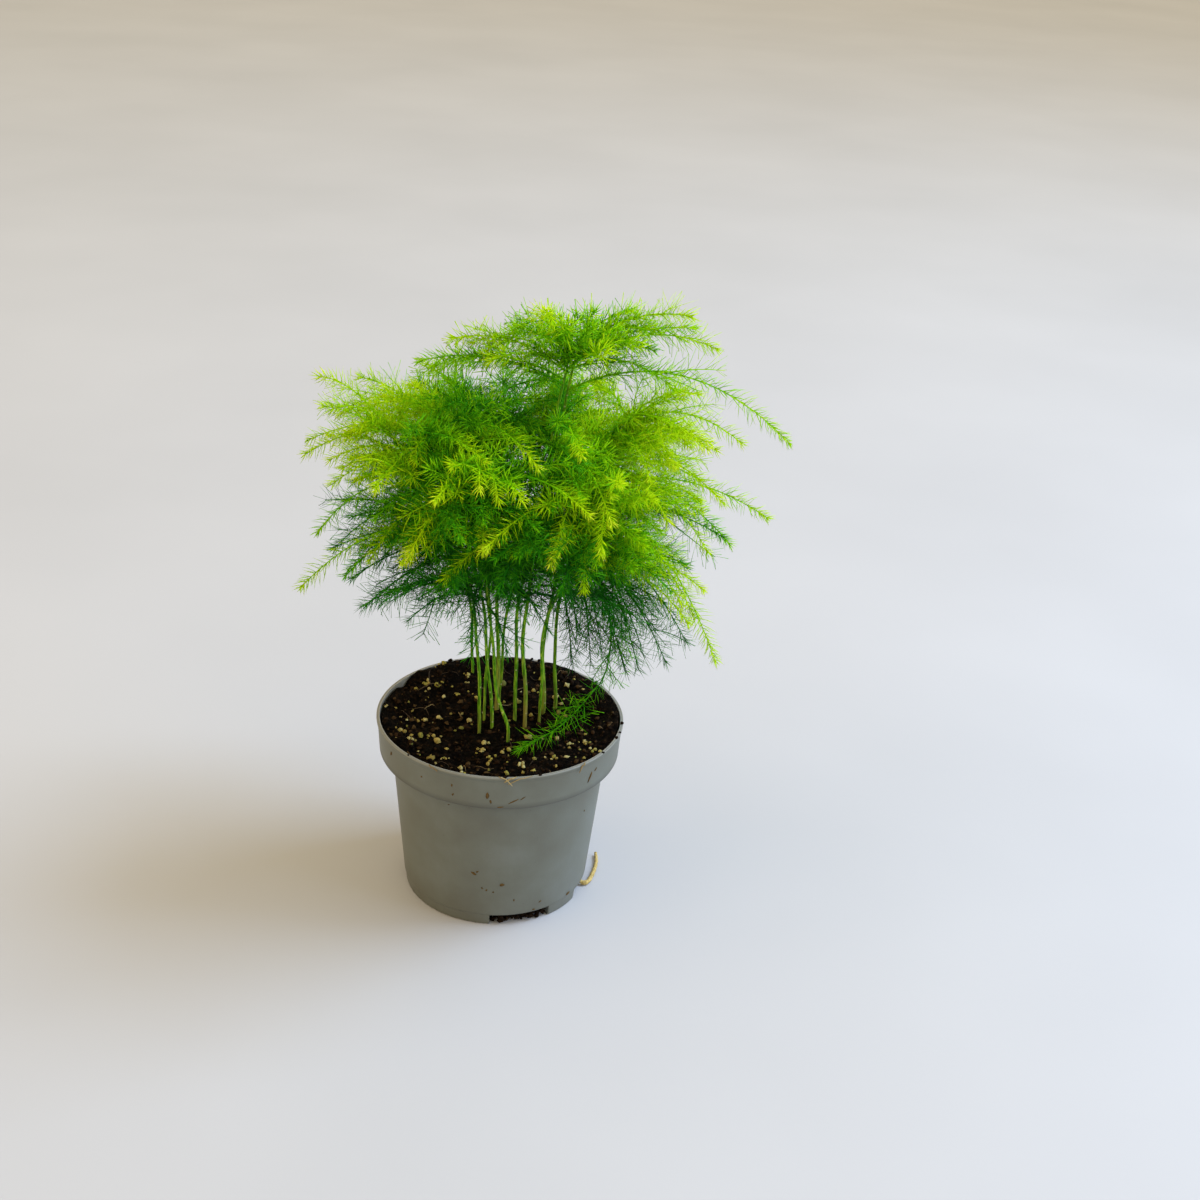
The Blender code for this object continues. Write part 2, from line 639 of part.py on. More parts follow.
def segment_distances(start, end, starts, ends):
    """Gives the distances from one segment to many, with the place on the one and on each."""
    d1, d2, r = end - start, ends - starts, start - starts
    a, e, f = d1 @ d1, np.einsum("ij,ij->i", d2, d2), np.einsum("ij,ij->i", d2, r)
    b, c = d2 @ d1, r @ d1
    spread = np.maximum(a * e - b * b, 1e-18)
    s = np.clip((b * f - c * e) / spread, 0, 1)
    t = np.clip((b * s + f) / np.maximum(e, 1e-18), 0, 1)
    s = np.clip((b * t - c) / a, 0, 1)
    gaps = np.linalg.norm(start + s[:, None] * d1 - starts - t[:, None] * d2, axis=1)
    return gaps, s, t


def core_table(bristles, stems):
    """Lists every core segment: its ends, radius, the index of its bristle, and its frond."""
    starts, ends, radii, parts, fronds = [], [], [], [], []
    for index, bristle in enumerate(bristles):
        run = [*bristle.points, bristle.tip]
        for a, b, radius in zip(run[:-1], run[1:], bristle.radii):
            starts.append(a)
            ends.append(b)
            radii.append(radius)
            parts.append(index)
            fronds.append(bristle.frond)
    for number, path in enumerate(stems):
        for a, b in zip(path[:-1], path[1:]):
            starts.append(a)
            ends.append(b)
            radii.append(STEMS[number][3])
            parts.append(-1 - number)
            fronds.append(number)
    return tuple(np.array(column) for column in (starts, ends, radii, parts, fronds))


def trim_needles(bristles, stems):
    """Shortens or leaves out each needle that would come too near another core or needle."""
    starts, ends, radii, parts, fronds = core_table(bristles, stems)
    kept_starts, kept_ends = [np.zeros(3)], [np.full(3, 1e-3)]
    kept_parts, kept_fronds = [-999], [-999]
    thick = NEEDLE_BAND / 2
    for index, bristle in enumerate(bristles):
        for needle in bristle.needles:
            reach = ends_before(needle, bristle, index, (starts, ends, radii, parts, fronds))
            near = (np.array(kept_starts), np.array(kept_ends), np.array(kept_parts))
            gaps, s, t = segment_distances(needle["foot"], needle["tip"], near[0], near[1])
            margin = np.where(np.array(kept_fronds) == bristle.frond, OWN_GAP, GAP)
            limit = margin + thick * (1 - s) + thick * (1 - t)
            hit = (gaps < limit) & (near[2] != index)
            if hit.any():
                reach = min(reach, float(s[hit].min()) - NEEDLE_HOLDS_BACK)
            reach = min(reach, above_peat(needle))
            needle["keep"] = reach if reach * NEEDLE_LENGTH > NEEDLE_SHORTEST else 0.0
            if needle["keep"] > 0:
                kept_starts.append(needle["foot"])
                kept_ends.append(needle["foot"] + (needle["tip"] - needle["foot"]) * reach)
                kept_parts.append(index)
                kept_fronds.append(bristle.frond)


def ends_before(needle, bristle, index, cores):
    """Gives the share of a needle that stays clear of every core but its own."""
    starts, ends, radii, parts, fronds = cores
    gaps, s, _ = segment_distances(needle["foot"], needle["tip"], starts, ends)
    margin = np.where(fronds == bristle.frond, OWN_GAP, GAP)
    limit = margin + radii + NEEDLE_BAND / 2 * (1 - s)
    hit = (gaps < limit) & (parts != index)
    if not hit.any():
        return 1.0
    return float(s[hit].min()) - NEEDLE_HOLDS_BACK


def above_peat(needle):
    """Gives the share of a needle that stays above the peat and the pot's rim."""
    for share in np.linspace(1.0, 0.1, 10):
        x, y, z = needle["foot"] + (needle["tip"] - needle["foot"]) * share
        if z > ground(x, y):
            return share
    return 0.0


def ground(x, y):
    """Gives the height that needles keep above: peat with its grains, the rim, or nothing."""
    distance = math.hypot(x, y)
    if distance > RIM_RADIUS + 0.002:
        return 0.0
    if distance > RIM_RADIUS - 0.004:
        return POT_HEIGHT + 0.0012
    return peat_height(x, y) + PEAT_CLEARANCE


def clear_of_cores(twig, frond, owner, cores):
    """Tells whether a twig keeps clear of every core but the one it grows on."""
    starts, ends, radii, parts, fronds = cores
    for a, b in zip(twig[1:-1], twig[2:]):
        gaps, _, _ = segment_distances(a, b, starts, ends)
        margin = np.where(fronds == frond, OWN_GAP, GAP)
        if ((gaps < margin + radii + TWIG_RADIUS + TWIG_SPARE) & (parts != owner)).any():
            return False
        if min(a[2] - ground(a[0], a[1]), b[2] - ground(b[0], b[1])) < 0:
            return False
    return True


def grow_bristles(stems):
    """Makes every spray and twig as a bristle, with the needles trimmed clear of each other."""
    axes, owners = ease_apart(stems, spray_axes(stems))
    rng = random.Random(5)
    bristles = [Bristle(owner, axis, SPRAY_ROOT_RADIUS, SPRAY_TIP_RADIUS, SPRAY_BARE, SPRAY_PITCH,
                        rng.uniform(0, math.tau)) for axis, owner in zip(axes, owners)]
    for index in range(len(axes)):
        taken = set()
        for twig in twigs(bristles[index], rng):
            root = tuple(np.round(twig[0], 6))
            cores = core_table(bristles, stems)
            if root in taken or not clear_of_cores(twig, owners[index], index, cores):
                continue
            taken.add(root)
            bristles.append(Bristle(owners[index], twig, TWIG_RADIUS, TWIG_RADIUS, TWIG_BARE,
                                    TWIG_PITCH, rng.uniform(0, math.tau)))
    trim_needles(bristles, stems)
    return bristles


def stem_solid(path, radius):
    """Gives a stem as a slim tapered prism with a flat foot and a pointed top."""
    points = [path[0]]
    slopes = np.gradient(path, axis=0)
    for i, (point, slope) in enumerate(zip(path[:-1], slopes)):
        course = unit(slope) if i > 1 else np.array([0.0, 0.0, 1.0])
        across = unit(np.cross(course, (0.0, 1.0, 0.0)))
        upward = np.cross(across, course)
        share = i / (len(path) - 1)
        width = radius + (STEM_TOP_RADIUS - radius) * share
        for k in range(STEM_SIDES):
            angle = k * math.tau / STEM_SIDES
            points.append(point + width * (math.cos(angle) * across + math.sin(angle) * upward))
    points.append(path[-1])
    faces = [(0, 1 + k, 1 + (k + 1) % STEM_SIDES) for k in range(STEM_SIDES)]
    for i in range(len(path) - 2):
        for k in range(STEM_SIDES):
            a = 1 + i * STEM_SIDES + k
            b = 1 + i * STEM_SIDES + (k + 1) % STEM_SIDES
            faces += [(a, b, b + STEM_SIDES), (a, b + STEM_SIDES, a + STEM_SIDES)]
    end = 1 + (len(path) - 2) * STEM_SIDES
    faces += [(end + k, end + (k + 1) % STEM_SIDES, len(points) - 1) for k in range(STEM_SIDES)]
    return points, faces


def make_fronds():
    """Joins each stem and its bristles into one solid."""
    paths = [stem_path(stem) for stem in STEMS]
    bristles = grow_bristles(paths)
    tints = (LEAF_GREEN, LIME_GREEN, LEAF_GREEN, DEEP_GREEN)
    for number, path in enumerate(paths):
        green = finish(f"needle green {number + 1}", tints[number % len(tints)], 0.55)
        frond = add_mesh(f"frond_{number + 1:02d}", *stem_solid(path, STEMS[number][3]), green)
        parts = new_collection(f"bristles_{number + 1:02d}")
        for index, bristle in enumerate(b for b in bristles if b.frond == number):
            add_mesh(f"bristle_{number + 1:02d}_{index}", *bristle.solid(), None, parts)
        join_all(frond, parts)


def make_strand():
    """Sweeps the root strand through its points as a bevelled curve."""
    curve = bpy.data.curves.new("root_strand", "CURVE")
    curve.dimensions = "3D"
    curve.bevel_depth = STRAND_RADIUS
    curve.bevel_resolution = 1
    curve.use_fill_caps = True
    spline = curve.splines.new("POLY")
    route = smooth_path(STRAND_POINTS, STRAND_STEPS)
    spline.points.add(len(route) - 1)
    for i, (point, place) in enumerate(zip(spline.points, route)):
        point.co = (*place, 1.0)
        share = i / (len(route) - 1)
        point.radius = 1.0 + (STRAND_TIP_RADIUS / STRAND_RADIUS - 1.0) * share
    curve.materials.append(finish("dry root", STRAND_TAN, 0.8))
    strand = bpy.data.objects.new("root_strand", curve)
    bpy.context.scene.collection.objects.link(strand)


clear_scene()
make_pot()
make_peat()
make_fronds()
make_strand()
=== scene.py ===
"""Potted asparagus fern: the dressed model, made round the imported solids.

Lengths are in metres, +Z is up, +X is to the right and -Y is to the front. Azimuths run from the front
towards +X. Every shape is worked out as whole arrays, and the same seeds give the same plant each run.
"""

import math
import random
from functools import partial

import bpy
import numpy as np
from mathutils import Matrix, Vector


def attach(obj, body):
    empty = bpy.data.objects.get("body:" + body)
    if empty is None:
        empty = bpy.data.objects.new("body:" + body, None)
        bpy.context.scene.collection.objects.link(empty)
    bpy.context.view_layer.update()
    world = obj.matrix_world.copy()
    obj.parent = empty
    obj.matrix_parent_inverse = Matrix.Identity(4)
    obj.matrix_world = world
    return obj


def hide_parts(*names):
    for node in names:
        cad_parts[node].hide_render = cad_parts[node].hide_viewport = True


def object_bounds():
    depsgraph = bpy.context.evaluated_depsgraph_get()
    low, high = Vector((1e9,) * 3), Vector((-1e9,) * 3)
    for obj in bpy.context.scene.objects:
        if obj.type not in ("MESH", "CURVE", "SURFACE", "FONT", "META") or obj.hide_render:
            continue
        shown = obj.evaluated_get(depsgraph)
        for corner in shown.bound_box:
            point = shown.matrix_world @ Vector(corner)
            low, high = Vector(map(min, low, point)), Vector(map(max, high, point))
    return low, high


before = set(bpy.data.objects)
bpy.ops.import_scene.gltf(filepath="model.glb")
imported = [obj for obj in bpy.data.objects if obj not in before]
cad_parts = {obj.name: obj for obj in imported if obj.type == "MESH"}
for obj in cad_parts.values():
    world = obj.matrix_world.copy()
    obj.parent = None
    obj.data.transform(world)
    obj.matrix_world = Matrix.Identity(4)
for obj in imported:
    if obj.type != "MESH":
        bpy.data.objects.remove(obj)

solid_low, solid_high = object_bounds()


# The pot is a round nursery pot: a thin shell of grey polypropylene, injection moulded in one piece, with a
# wide collar, a bead at the rim, a foot band, and four raised drainage pockets with a drain hole in each.
POT_HEIGHT = 0.0924
RIM_RADIUS = 0.0600
RIM_BEAD_HEIGHT = 0.0018
RIM_BEAD_STEP = 0.0006
COLLAR_FOOT_Z = 0.0745
COLLAR_FOOT_RADIUS = 0.0584
WALL_TOP_RADIUS = 0.0524
BASE_RADIUS = 0.0449
FOOT_BAND_HEIGHT = 0.0056
FOOT_BAND_FLARE = 0.0010
FOOT_BAND_STEP = 0.0004
WALL = 0.0010
FLOOR_THICKNESS = 0.0012
POT_COLUMNS = 240
COLUMN_OFFSET = 0.13
POCKET_AZIMUTHS = (17.0, 80.5, 197.0, 260.5)
POCKET_HALF_ANGLE = 19.5
POCKET_WALL_ANGLE = 1.5
POCKET_HEIGHT = 0.0055
POCKET_INNER_RADIUS = 0.0360
DRAIN_HALF_ANGLE = 9.0
DRAIN_RADII = (0.0385, 0.0425)
HAIR_ANGLE = 0.04


def linear(code):
    """Turns an sRGB hex colour into linear light: c/12.92 below 0.04045, else ((c+0.055)/1.055)^2.4."""
    shares = [int(code[k:k + 2], 16) / 255 for k in (1, 3, 5)]
    return (*[c / 12.92 if c < 0.04045 else ((c + 0.055) / 1.055) ** 2.4 for c in shares], 1.0)


def add_node(tree, kind, inputs=None, out=0, stops=(), **settings):
    """Adds a node with its settings and gives one of its output sockets, or the node if it has none.

    Each input gets a value, or a link where the value is a socket. A colour ramp also gets its stops, which
    are pairs of a position and a hex colour.
    """
    made = tree.nodes.new("ShaderNode" + kind)
    for name, value in settings.items():
        setattr(made, name, value)
    for name, value in (inputs or {}).items():
        if isinstance(value, bpy.types.NodeSocket):
            tree.links.new(value, made.inputs[name])
        else:
            made.inputs[name].default_value = value
    while stops and len(made.color_ramp.elements) < len(stops):
        made.color_ramp.elements.new(0.5)
    for k, (position, code) in enumerate(stops):
        made.color_ramp.elements[k].position = position
        made.color_ramp.elements[k].color = linear(code)
    return made.outputs[out] if len(made.outputs) else made


def start_material(name):
    """Gives a new material, add_node bound to its empty node tree, and a socket with Object coordinates."""
    material = bpy.data.materials.new(name)
    material.use_nodes = True
    material.node_tree.nodes.clear()
    add = partial(add_node, material.node_tree)
    return material, add, add("TexCoord", out="Object")


def solid_piece(name, points, faces, materials, smooth=True, picks=None, **values):
    """Makes a mesh object from points (n, 3) and a list of face arrays, each (m, corners).

    The sum of a . (b x c) over the faces is six times the volume, so where it is below zero every face is
    turned round. picks gives each face its material, and values are stored as point attributes.
    """
    points = np.asarray(points, float).reshape(-1, 3)
    volume = sum(np.einsum("ij,ij->", points[f[:, 0]], np.cross(points[f[:, k]], points[f[:, k + 1]]))
                 for f in faces for k in range(1, f.shape[1] - 1))
    if volume < 0:
        faces = [f[:, ::-1] for f in faces]
    corners = np.concatenate([f.ravel() for f in faces]).astype(np.int32)
    counts = np.concatenate([np.full(len(f), f.shape[1]) for f in faces])
    starts = np.concatenate([[0], np.cumsum(counts)[:-1]]).astype(np.int32)
    mesh = bpy.data.meshes.new(name)
    mesh.vertices.add(len(points))
    mesh.vertices.foreach_set("co", points.astype(np.float32).ravel())
    mesh.loops.add(len(corners))
    mesh.loops.foreach_set("vertex_index", corners)
    mesh.polygons.add(len(counts))
    mesh.polygons.foreach_set("loop_start", starts)
    if picks is not None:
        mesh.polygons.foreach_set("material_index", np.concatenate(picks).astype(np.int32))
    for material in materials:
        mesh.materials.append(material)
    mesh.update(calc_edges=True)
    mesh.validate()
    mesh.polygons.foreach_set("use_smooth", np.full(len(mesh.polygons), smooth))
    for label, numbers in values.items():
        stored = mesh.attributes.new(label, "FLOAT", "POINT")
        stored.data.foreach_set("value", np.asarray(numbers, np.float32).ravel())
    piece = bpy.data.objects.new(name, mesh)
    bpy.context.scene.collection.objects.link(piece)
    return piece


def rounded(corners):
    """Rounds the corners of an outline of (r, z, radius, steps).

    Each corner becomes a curve (1-t)^2 a + 2t(1-t) b + t^2 c, from a on the side before it to c on the side
    after it, both radius away, or half a side where that is shorter. One step keeps the corner itself.
    """
    places = np.array([corner[:2] for corner in corners])
    drawn = []
    for k, (_, _, radius, steps) in enumerate(corners):
        here = places[k]
        if steps == 1:
            drawn.append(here[None])
            continue
        sides = [places[max(k - 1, 0)] - here, places[min(k + 1, len(places) - 1)] - here]
        ends = [here + side * min(radius / (np.linalg.norm(side) + 1e-12), 0.5) for side in sides]
        t = np.linspace(0, 1, steps)[:, None]
        drawn.append((1 - t) ** 2 * ends[0] + 2 * t * (1 - t) * here + t ** 2 * ends[1])
    return np.vstack(drawn)


def pot_outline(outside, inside):
    """Gives the wall's outline from the middle of the base, out, up, over the rim and down inside.

    outside and inside say, as 0 or 1, whether the pocket is raised under and over the base.
    """
    band_top = BASE_RADIUS + FOOT_BAND_FLARE
    bead_z = POT_HEIGHT - RIM_BEAD_HEIGHT
    collar_top = RIM_RADIUS - RIM_BEAD_STEP
    under, over = POCKET_HEIGHT * outside, FLOOR_THICKNESS + POCKET_HEIGHT * inside
    foot = BASE_RADIUS + (band_top - FOOT_BAND_STEP - BASE_RADIUS) * under / FOOT_BAND_HEIGHT
    lining = POCKET_INNER_RADIUS - FLOOR_THICKNESS
    inner_foot = BASE_RADIUS - WALL + 0.0002 + 0.0006 * inside
    ledge = COLLAR_FOOT_Z + FLOOR_THICKNESS
    return rounded([
        (POCKET_INNER_RADIUS, 0.0, 0.0004, 3),
        (POCKET_INNER_RADIUS, under, 0.0004, 3),
        (DRAIN_RADII[0], under, 0.0, 1),
        (DRAIN_RADII[1], under, 0.0, 1),
        (foot, under, 0.0005, 4),
        (band_top - FOOT_BAND_STEP, FOOT_BAND_HEIGHT + 0.0001, 0.0003, 3),
        (band_top, FOOT_BAND_HEIGHT + 0.0006, 0.0005, 3),
        (WALL_TOP_RADIUS, COLLAR_FOOT_Z, 0.0009, 4),
        (COLLAR_FOOT_RADIUS, COLLAR_FOOT_Z, 0.0011, 6),
        (collar_top, bead_z - 0.0003, 0.0004, 3),
        (RIM_RADIUS, bead_z + 0.0003, 0.0004, 3),
        (RIM_RADIUS, POT_HEIGHT, 0.0005, 5),
        (collar_top - WALL, POT_HEIGHT, 0.0004, 4),
        (collar_top - WALL, bead_z, 0.0, 1),
        (COLLAR_FOOT_RADIUS - WALL, ledge, 0.0008, 4),
        (WALL_TOP_RADIUS - WALL, ledge, 0.0006, 3),
        (inner_foot, over, 0.0006, 3),
        (DRAIN_RADII[1], over, 0.0, 1),
        (DRAIN_RADII[0], over, 0.0, 1),
        (lining, over, 0.0003, 2),
        (lining, FLOOR_THICKNESS, 0.0003, 2),
    ])


def lathe(outlines, azimuths, poles):
    """Turns one outline for each azimuth a: (r sin a, -r cos a, z), closed by a pole at each end."""
    turn = np.radians(azimuths)[:, None]
    radii, heights = outlines[..., 0], outlines[..., 1]
    ring = np.stack([radii * np.sin(turn), -radii * np.cos(turn), heights + 0 * turn], -1)
    points = np.vstack([ring.reshape(-1, 3), [(0, 0, poles[0]), (0, 0, poles[1])]])
    columns, rows = radii.shape
    here = np.arange(columns)[:, None] * rows + np.arange(rows)
    there = np.roll(here, -1, 0)
    quads = np.stack([here[:, :-1], there[:, :-1], there[:, 1:], here[:, 1:]], -1)
    first = np.stack([there[:, 0], here[:, 0], np.full(columns, columns * rows)], -1)
    last = np.stack([here[:, -1], there[:, -1], np.full(columns, columns * rows + 1)], -1)
    return points, quads, [first, last], here


pocket_edges = [azimuth + side * (half + hair) for azimuth in POCKET_AZIMUTHS for side in (-1, 1)
                for half in (POCKET_HALF_ANGLE, POCKET_HALF_ANGLE + POCKET_WALL_ANGLE)
                for hair in (-HAIR_ANGLE, HAIR_ANGLE)]
drain_edges = [azimuth + side * DRAIN_HALF_ANGLE for azimuth in POCKET_AZIMUTHS for side in (-1, 1)]
even = np.arange(POT_COLUMNS) * 360 / POT_COLUMNS + COLUMN_OFFSET
azimuths = np.unique(np.concatenate([even, pocket_edges, drain_edges]) % 360)
from_pocket = np.abs((azimuths[:, None] - POCKET_AZIMUTHS + 180) % 360 - 180).min(1)
sections = {(a, b): pot_outline(a, b) for a in (0, 1) for b in (0, 1)}
pot_rings = np.stack([sections[int(off < POCKET_HALF_ANGLE),
                               int(off < POCKET_HALF_ANGLE + POCKET_WALL_ANGLE)] for off in from_pocket])
pot_points, pot_quads, pot_ends, pot_index = lathe(pot_rings, azimuths, (0.0, FLOOR_THICKNESS))
drain_rows = [6, len(pot_rings[0]) - 6]
in_drain = (from_pocket < DRAIN_HALF_ANGLE - 1e-6) | np.isclose(from_pocket, DRAIN_HALF_ANGLE)
next_in = np.roll(in_drain, -1)
open_columns = in_drain & next_in
kept = np.ones(pot_quads.shape[:2], bool)
kept[np.ix_(open_columns, drain_rows)] = False
below, above = drain_rows
here, there = pot_index[open_columns], np.roll(pot_index, -1, 0)[open_columns]
starts_hole = pot_index[in_drain & ~np.roll(in_drain, 1)]
ends_hole = pot_index[in_drain & ~next_in]
drain_walls = [
    np.stack([here[:, below], there[:, below], there[:, above + 1], here[:, above + 1]], -1),
    np.stack([there[:, below + 1], here[:, below + 1], here[:, above], there[:, above]], -1),
    np.stack([starts_hole[:, below + 1], starts_hole[:, below], starts_hole[:, above + 1],
              starts_hole[:, above]], -1),
    np.stack([ends_hole[:, below], ends_hole[:, below + 1], ends_hole[:, above],
              ends_hole[:, above + 1]], -1),
]

# Moulded polypropylene: satin to matt, a fine even grain from the mould, and dust and peat stain that
# collect in soft blotches, more of them towards the foot. The grain is drawn at 0.5 mm, coarser than life.
# The rim's lip has a pale band of painted highlight, and the foot band's edge is scuffed paler. The collar's
# inside above the ledge is paled with painted light, and a dark band of painted shadow lies in the corner
# under the collar. A point is inside the collar where its radius less a share of its height is below a limit
# that lies in the middle of the wall.
pot_plastic, add, places = start_material("moulded grey polypropylene")
height = add("SeparateXYZ", {0: places}, "Z")
cloudy = add("TexNoise", {"Vector": places, "Scale": 38.0, "Detail": 4.0, "Roughness": 0.6})
plain_grey = add("ValToRGB", {0: cloudy}, stops=((0.30, "#5c5e53"), (0.52, "#62665c"), (0.72, "#6a6f68")))
stretched = add("Mapping", {"Vector": places, "Scale": (1.0, 1.0, 0.22)})
runs = add("TexNoise", {"Vector": stretched, "Scale": 150.0, "Detail": 3.0})
run_share = add("ValToRGB", {0: runs}, stops=((0.52, "#000000"), (0.80, "#5a5a5a")))
low_down = add("MapRange", {"Value": height, 1: 0.0, 2: 0.022, 3: 0.36, 4: 0.0})
blots = add("TexNoise", {"Vector": places, "Scale": 240.0, "Detail": 5.0, "Roughness": 0.7})
soil_share = add("Math", {0: blots, 1: low_down}, operation="MULTIPLY")
specks = add("TexVoronoi", {"Vector": places, "Scale": 210.0, "Randomness": 1.0})
tiny = add("ValToRGB", {0: specks}, stops=((0.055, "#ffffff"), (0.085, "#000000")))
patchy = add("TexNoise", {"Vector": places, "Scale": 55.0, "Detail": 2.0})
where = add("ValToRGB", {0: patchy}, stops=((0.58, "#000000"), (0.66, "#b0b0b0")))
speck_share = add("Mix", {0: 1.0, 6: tiny, 7: where}, 2, data_type="RGBA", blend_type="MULTIPLY")
# painted highlight: a pale band along the rim's lip, where its upward face catches the light
lip_highlight_share = add("MapRange", {"Value": height, 1: 0.0916, 2: 0.0922, 3: 0.0, 4: 0.35})
band_share = add("ValToRGB", {0: height},
                 stops=((0.0050, "#000000"), (0.0060, "#505050"), (0.0072, "#000000")))
# painted shadow: a dark band in the corner under the collar, where the collar's overhang shades the wall
collar_shadow_share = add("ValToRGB", {0: height},
                  stops=((0.0731, "#000000"), (0.0742, "#d0d0d0"), (0.0750, "#000000")))
# painted light: the collar's inside above the ledge is paled where it lies in shade
level = add("VectorMath", {0: places, 1: (1.0, 1.0, 0.0)}, operation="MULTIPLY")
across = add("VectorMath", {0: level}, "Value", operation="LENGTH")
leaning = add("Math", {0: height, 1: -0.062, 2: across}, operation="MULTIPLY_ADD")
inside = add("MapRange", {"Value": leaning, 1: 0.0532, 2: 0.0534, 3: 0.60, 4: 0.0})
above_ledge = add("MapRange", {"Value": height, 1: 0.0757, 2: 0.0760, 3: 0.0, 4: 1.0})
collar_inside_light_share = add("Math", {0: inside, 1: above_ledge}, operation="MULTIPLY")
# Of these layers the lip's pale band is painted highlight, the dark band under the collar painted shadow and
# the pale collar inside painted light; the others are the plastic's own marks.
worn_grey_with_painted_light = plain_grey
for share, code in ((run_share, "#555449"), (soil_share, "#4a4338"), (speck_share, "#40352a"),
                    (lip_highlight_share, "#94928a"), (band_share, "#a2a197"), (collar_shadow_share, "#302e29"),
                    (collar_inside_light_share, "#a3a39c")):
    worn_grey_with_painted_light = add("Mix", {0: share, 6: worn_grey_with_painted_light, 7: linear(code)}, 2, data_type="RGBA")
grain = add("TexNoise", {"Vector": places, "Scale": 1900.0, "Detail": 2.0})
grained = add("Bump", {"Height": grain, "Distance": 0.00012, "Strength": 0.35})
wear = add("MapRange", {"Value": cloudy, 1: 0.3, 2: 0.7, 3: 0.46, 4: 0.60})
add("OutputMaterial", {"Surface": add("BsdfPrincipled", {
    "Base Color": worn_grey_with_painted_light, "Roughness": wear, "Normal": grained, "IOR": 1.49})})

pot = solid_piece("pot_shell", pot_points, [pot_quads[kept], *drain_walls, *pot_ends], [pot_plastic])
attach(pot, "root")
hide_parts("pot")


# Peat fills the pot as a root ball: dark, fibrous, crumbly on top, a little lower at the front left and
# heaped at the back right. It is poured round the plant and pressed down, so it meets the wall all round.
GAP = 0.0003
PEAT_MEAN_HEIGHT = 0.0872
PEAT_HEAP = 0.0024
PEAT_LUMP = 0.0007
PEAT_COLUMNS = 220
PEAT_ROWS = 72
CLOD_SIZES = ((0.0090, 0.0012), (0.0042, 0.0014), (0.0021, 0.0012), (0.0012, 0.0006))
HEAP_WAY = (0.62, 0.78)
BACK_HEAP = 0.9
BANK_HEIGHT = 0.0933
BANK_WAY = (0.45, 0.89)
LEFT_BANK = 0.62
# Each ramp is where a share starts to rise from 0, and over how much it rises to 1
BANK_RAMP = (0.02, 0.25)
EDGE_RAMP = (0.043, 0.013)
LEFT_RAMP = (0.82, 0.08)
PEAT_OVERLAP = 0.0004


def peat_height(x, y):
    """Gives the height of the peat: a tilt towards the back right with soft sine lumps on it."""
    tilt = PEAT_HEAP * (HEAP_WAY[0] * x + HEAP_WAY[1] * y) / COLLAR_FOOT_RADIUS
    heap = BACK_HEAP * PEAT_HEAP * np.maximum(0.0, y / COLLAR_FOOT_RADIUS) ** 2
    lumps = np.sin(210 * x + 1.3) * np.cos(170 * y - 0.4) + 0.6 * np.sin(390 * x - 310 * y)
    return PEAT_MEAN_HEIGHT + tilt + heap + PEAT_LUMP * lumps


def lattice_noise(x, y, cell, seed):
    """Blends random heights at the knots of a square lattice with 3t^2 - 2t^3 in x and in y."""
    knots = np.random.default_rng(seed).uniform(-0.5, 0.5, (256, 256))
    u, v = x / cell + 128, y / cell + 128
    i, j = np.floor(u).astype(int), np.floor(v).astype(int)
    s, t = u - i, v - j
    s, t = s * s * (3 - 2 * s), t * t * (3 - 2 * t)
    left = knots[i % 256, j % 256] * (1 - t) + knots[i % 256, (j + 1) % 256] * t
    right = knots[(i + 1) % 256, j % 256] * (1 - t) + knots[(i + 1) % 256, (j + 1) % 256] * t
    return left * (1 - s) + right * s


def rising(value, start, width):
    """Gives 0 up to start, an even rise (value - start) / width from there, and 1 past the width."""
    return np.clip((value - start) / width, 0, 1)


def crumbly_height(x, y):
    """Gives the peat's height with a bank and clods on it: (1 - s) height + s bank + the sum of the clods.

    The share s rises over 13 mm next to the wall: to 1 all along the back, where the peat is banked up to
    the rim, and to 0.62 at the left. The clods are lattice noise of four sizes.
    """
    clods = sum(rise * lattice_noise(x, y, cell, 3 + k) for k, (cell, rise) in enumerate(CLOD_SIZES))
    away = np.hypot(x, y)
    towards = (BANK_WAY[0] * x + BANK_WAY[1] * y) / COLLAR_FOOT_RADIUS
    leftward = LEFT_BANK * rising(-x / np.maximum(away, 1e-6), *LEFT_RAMP)
    s = rising(away, *EDGE_RAMP) * np.maximum(leftward, rising(towards, *BANK_RAMP))
    return (1 - s) * peat_height(x, y) + s * np.maximum(BANK_HEIGHT, peat_height(x, y)) + clods


inner_foot = BASE_RADIUS - WALL - GAP
ledge = COLLAR_FOOT_Z + FLOOR_THICKNESS + GAP
pocket_top = POCKET_HEIGHT + FLOOR_THICKNESS + GAP
core_radius = POCKET_INNER_RADIUS - FLOOR_THICKNESS - GAP
edge_radius = COLLAR_FOOT_RADIUS - WALL - GAP + PEAT_OVERLAP
ball_sides = np.array([(core_radius, FLOOR_THICKNESS + GAP), (core_radius, pocket_top),
                       (inner_foot + PEAT_OVERLAP, pocket_top), (WALL_TOP_RADIUS - WALL - GAP, ledge),
                       (COLLAR_FOOT_RADIUS - WALL - GAP, ledge)])
top_radii = np.linspace(edge_radius, 0, PEAT_ROWS, endpoint=False)
ball_outline = np.vstack([ball_sides, np.stack([top_radii, 0 * top_radii], 1)])
ball_azimuths = np.arange(PEAT_COLUMNS) * 360 / PEAT_COLUMNS
ball_rings = np.repeat(ball_outline[None], PEAT_COLUMNS, 0)
turn = np.radians(ball_azimuths)[:, None]
ball_rings[:, len(ball_sides):, 1] = crumbly_height(top_radii * np.sin(turn), -top_radii * np.cos(turn))
centre_height = float(crumbly_height(np.zeros(1), np.zeros(1))[0])
ball_points, ball_quads, ball_ends, _ = lathe(ball_rings, ball_azimuths,
                                              (FLOOR_THICKNESS + GAP, centre_height))
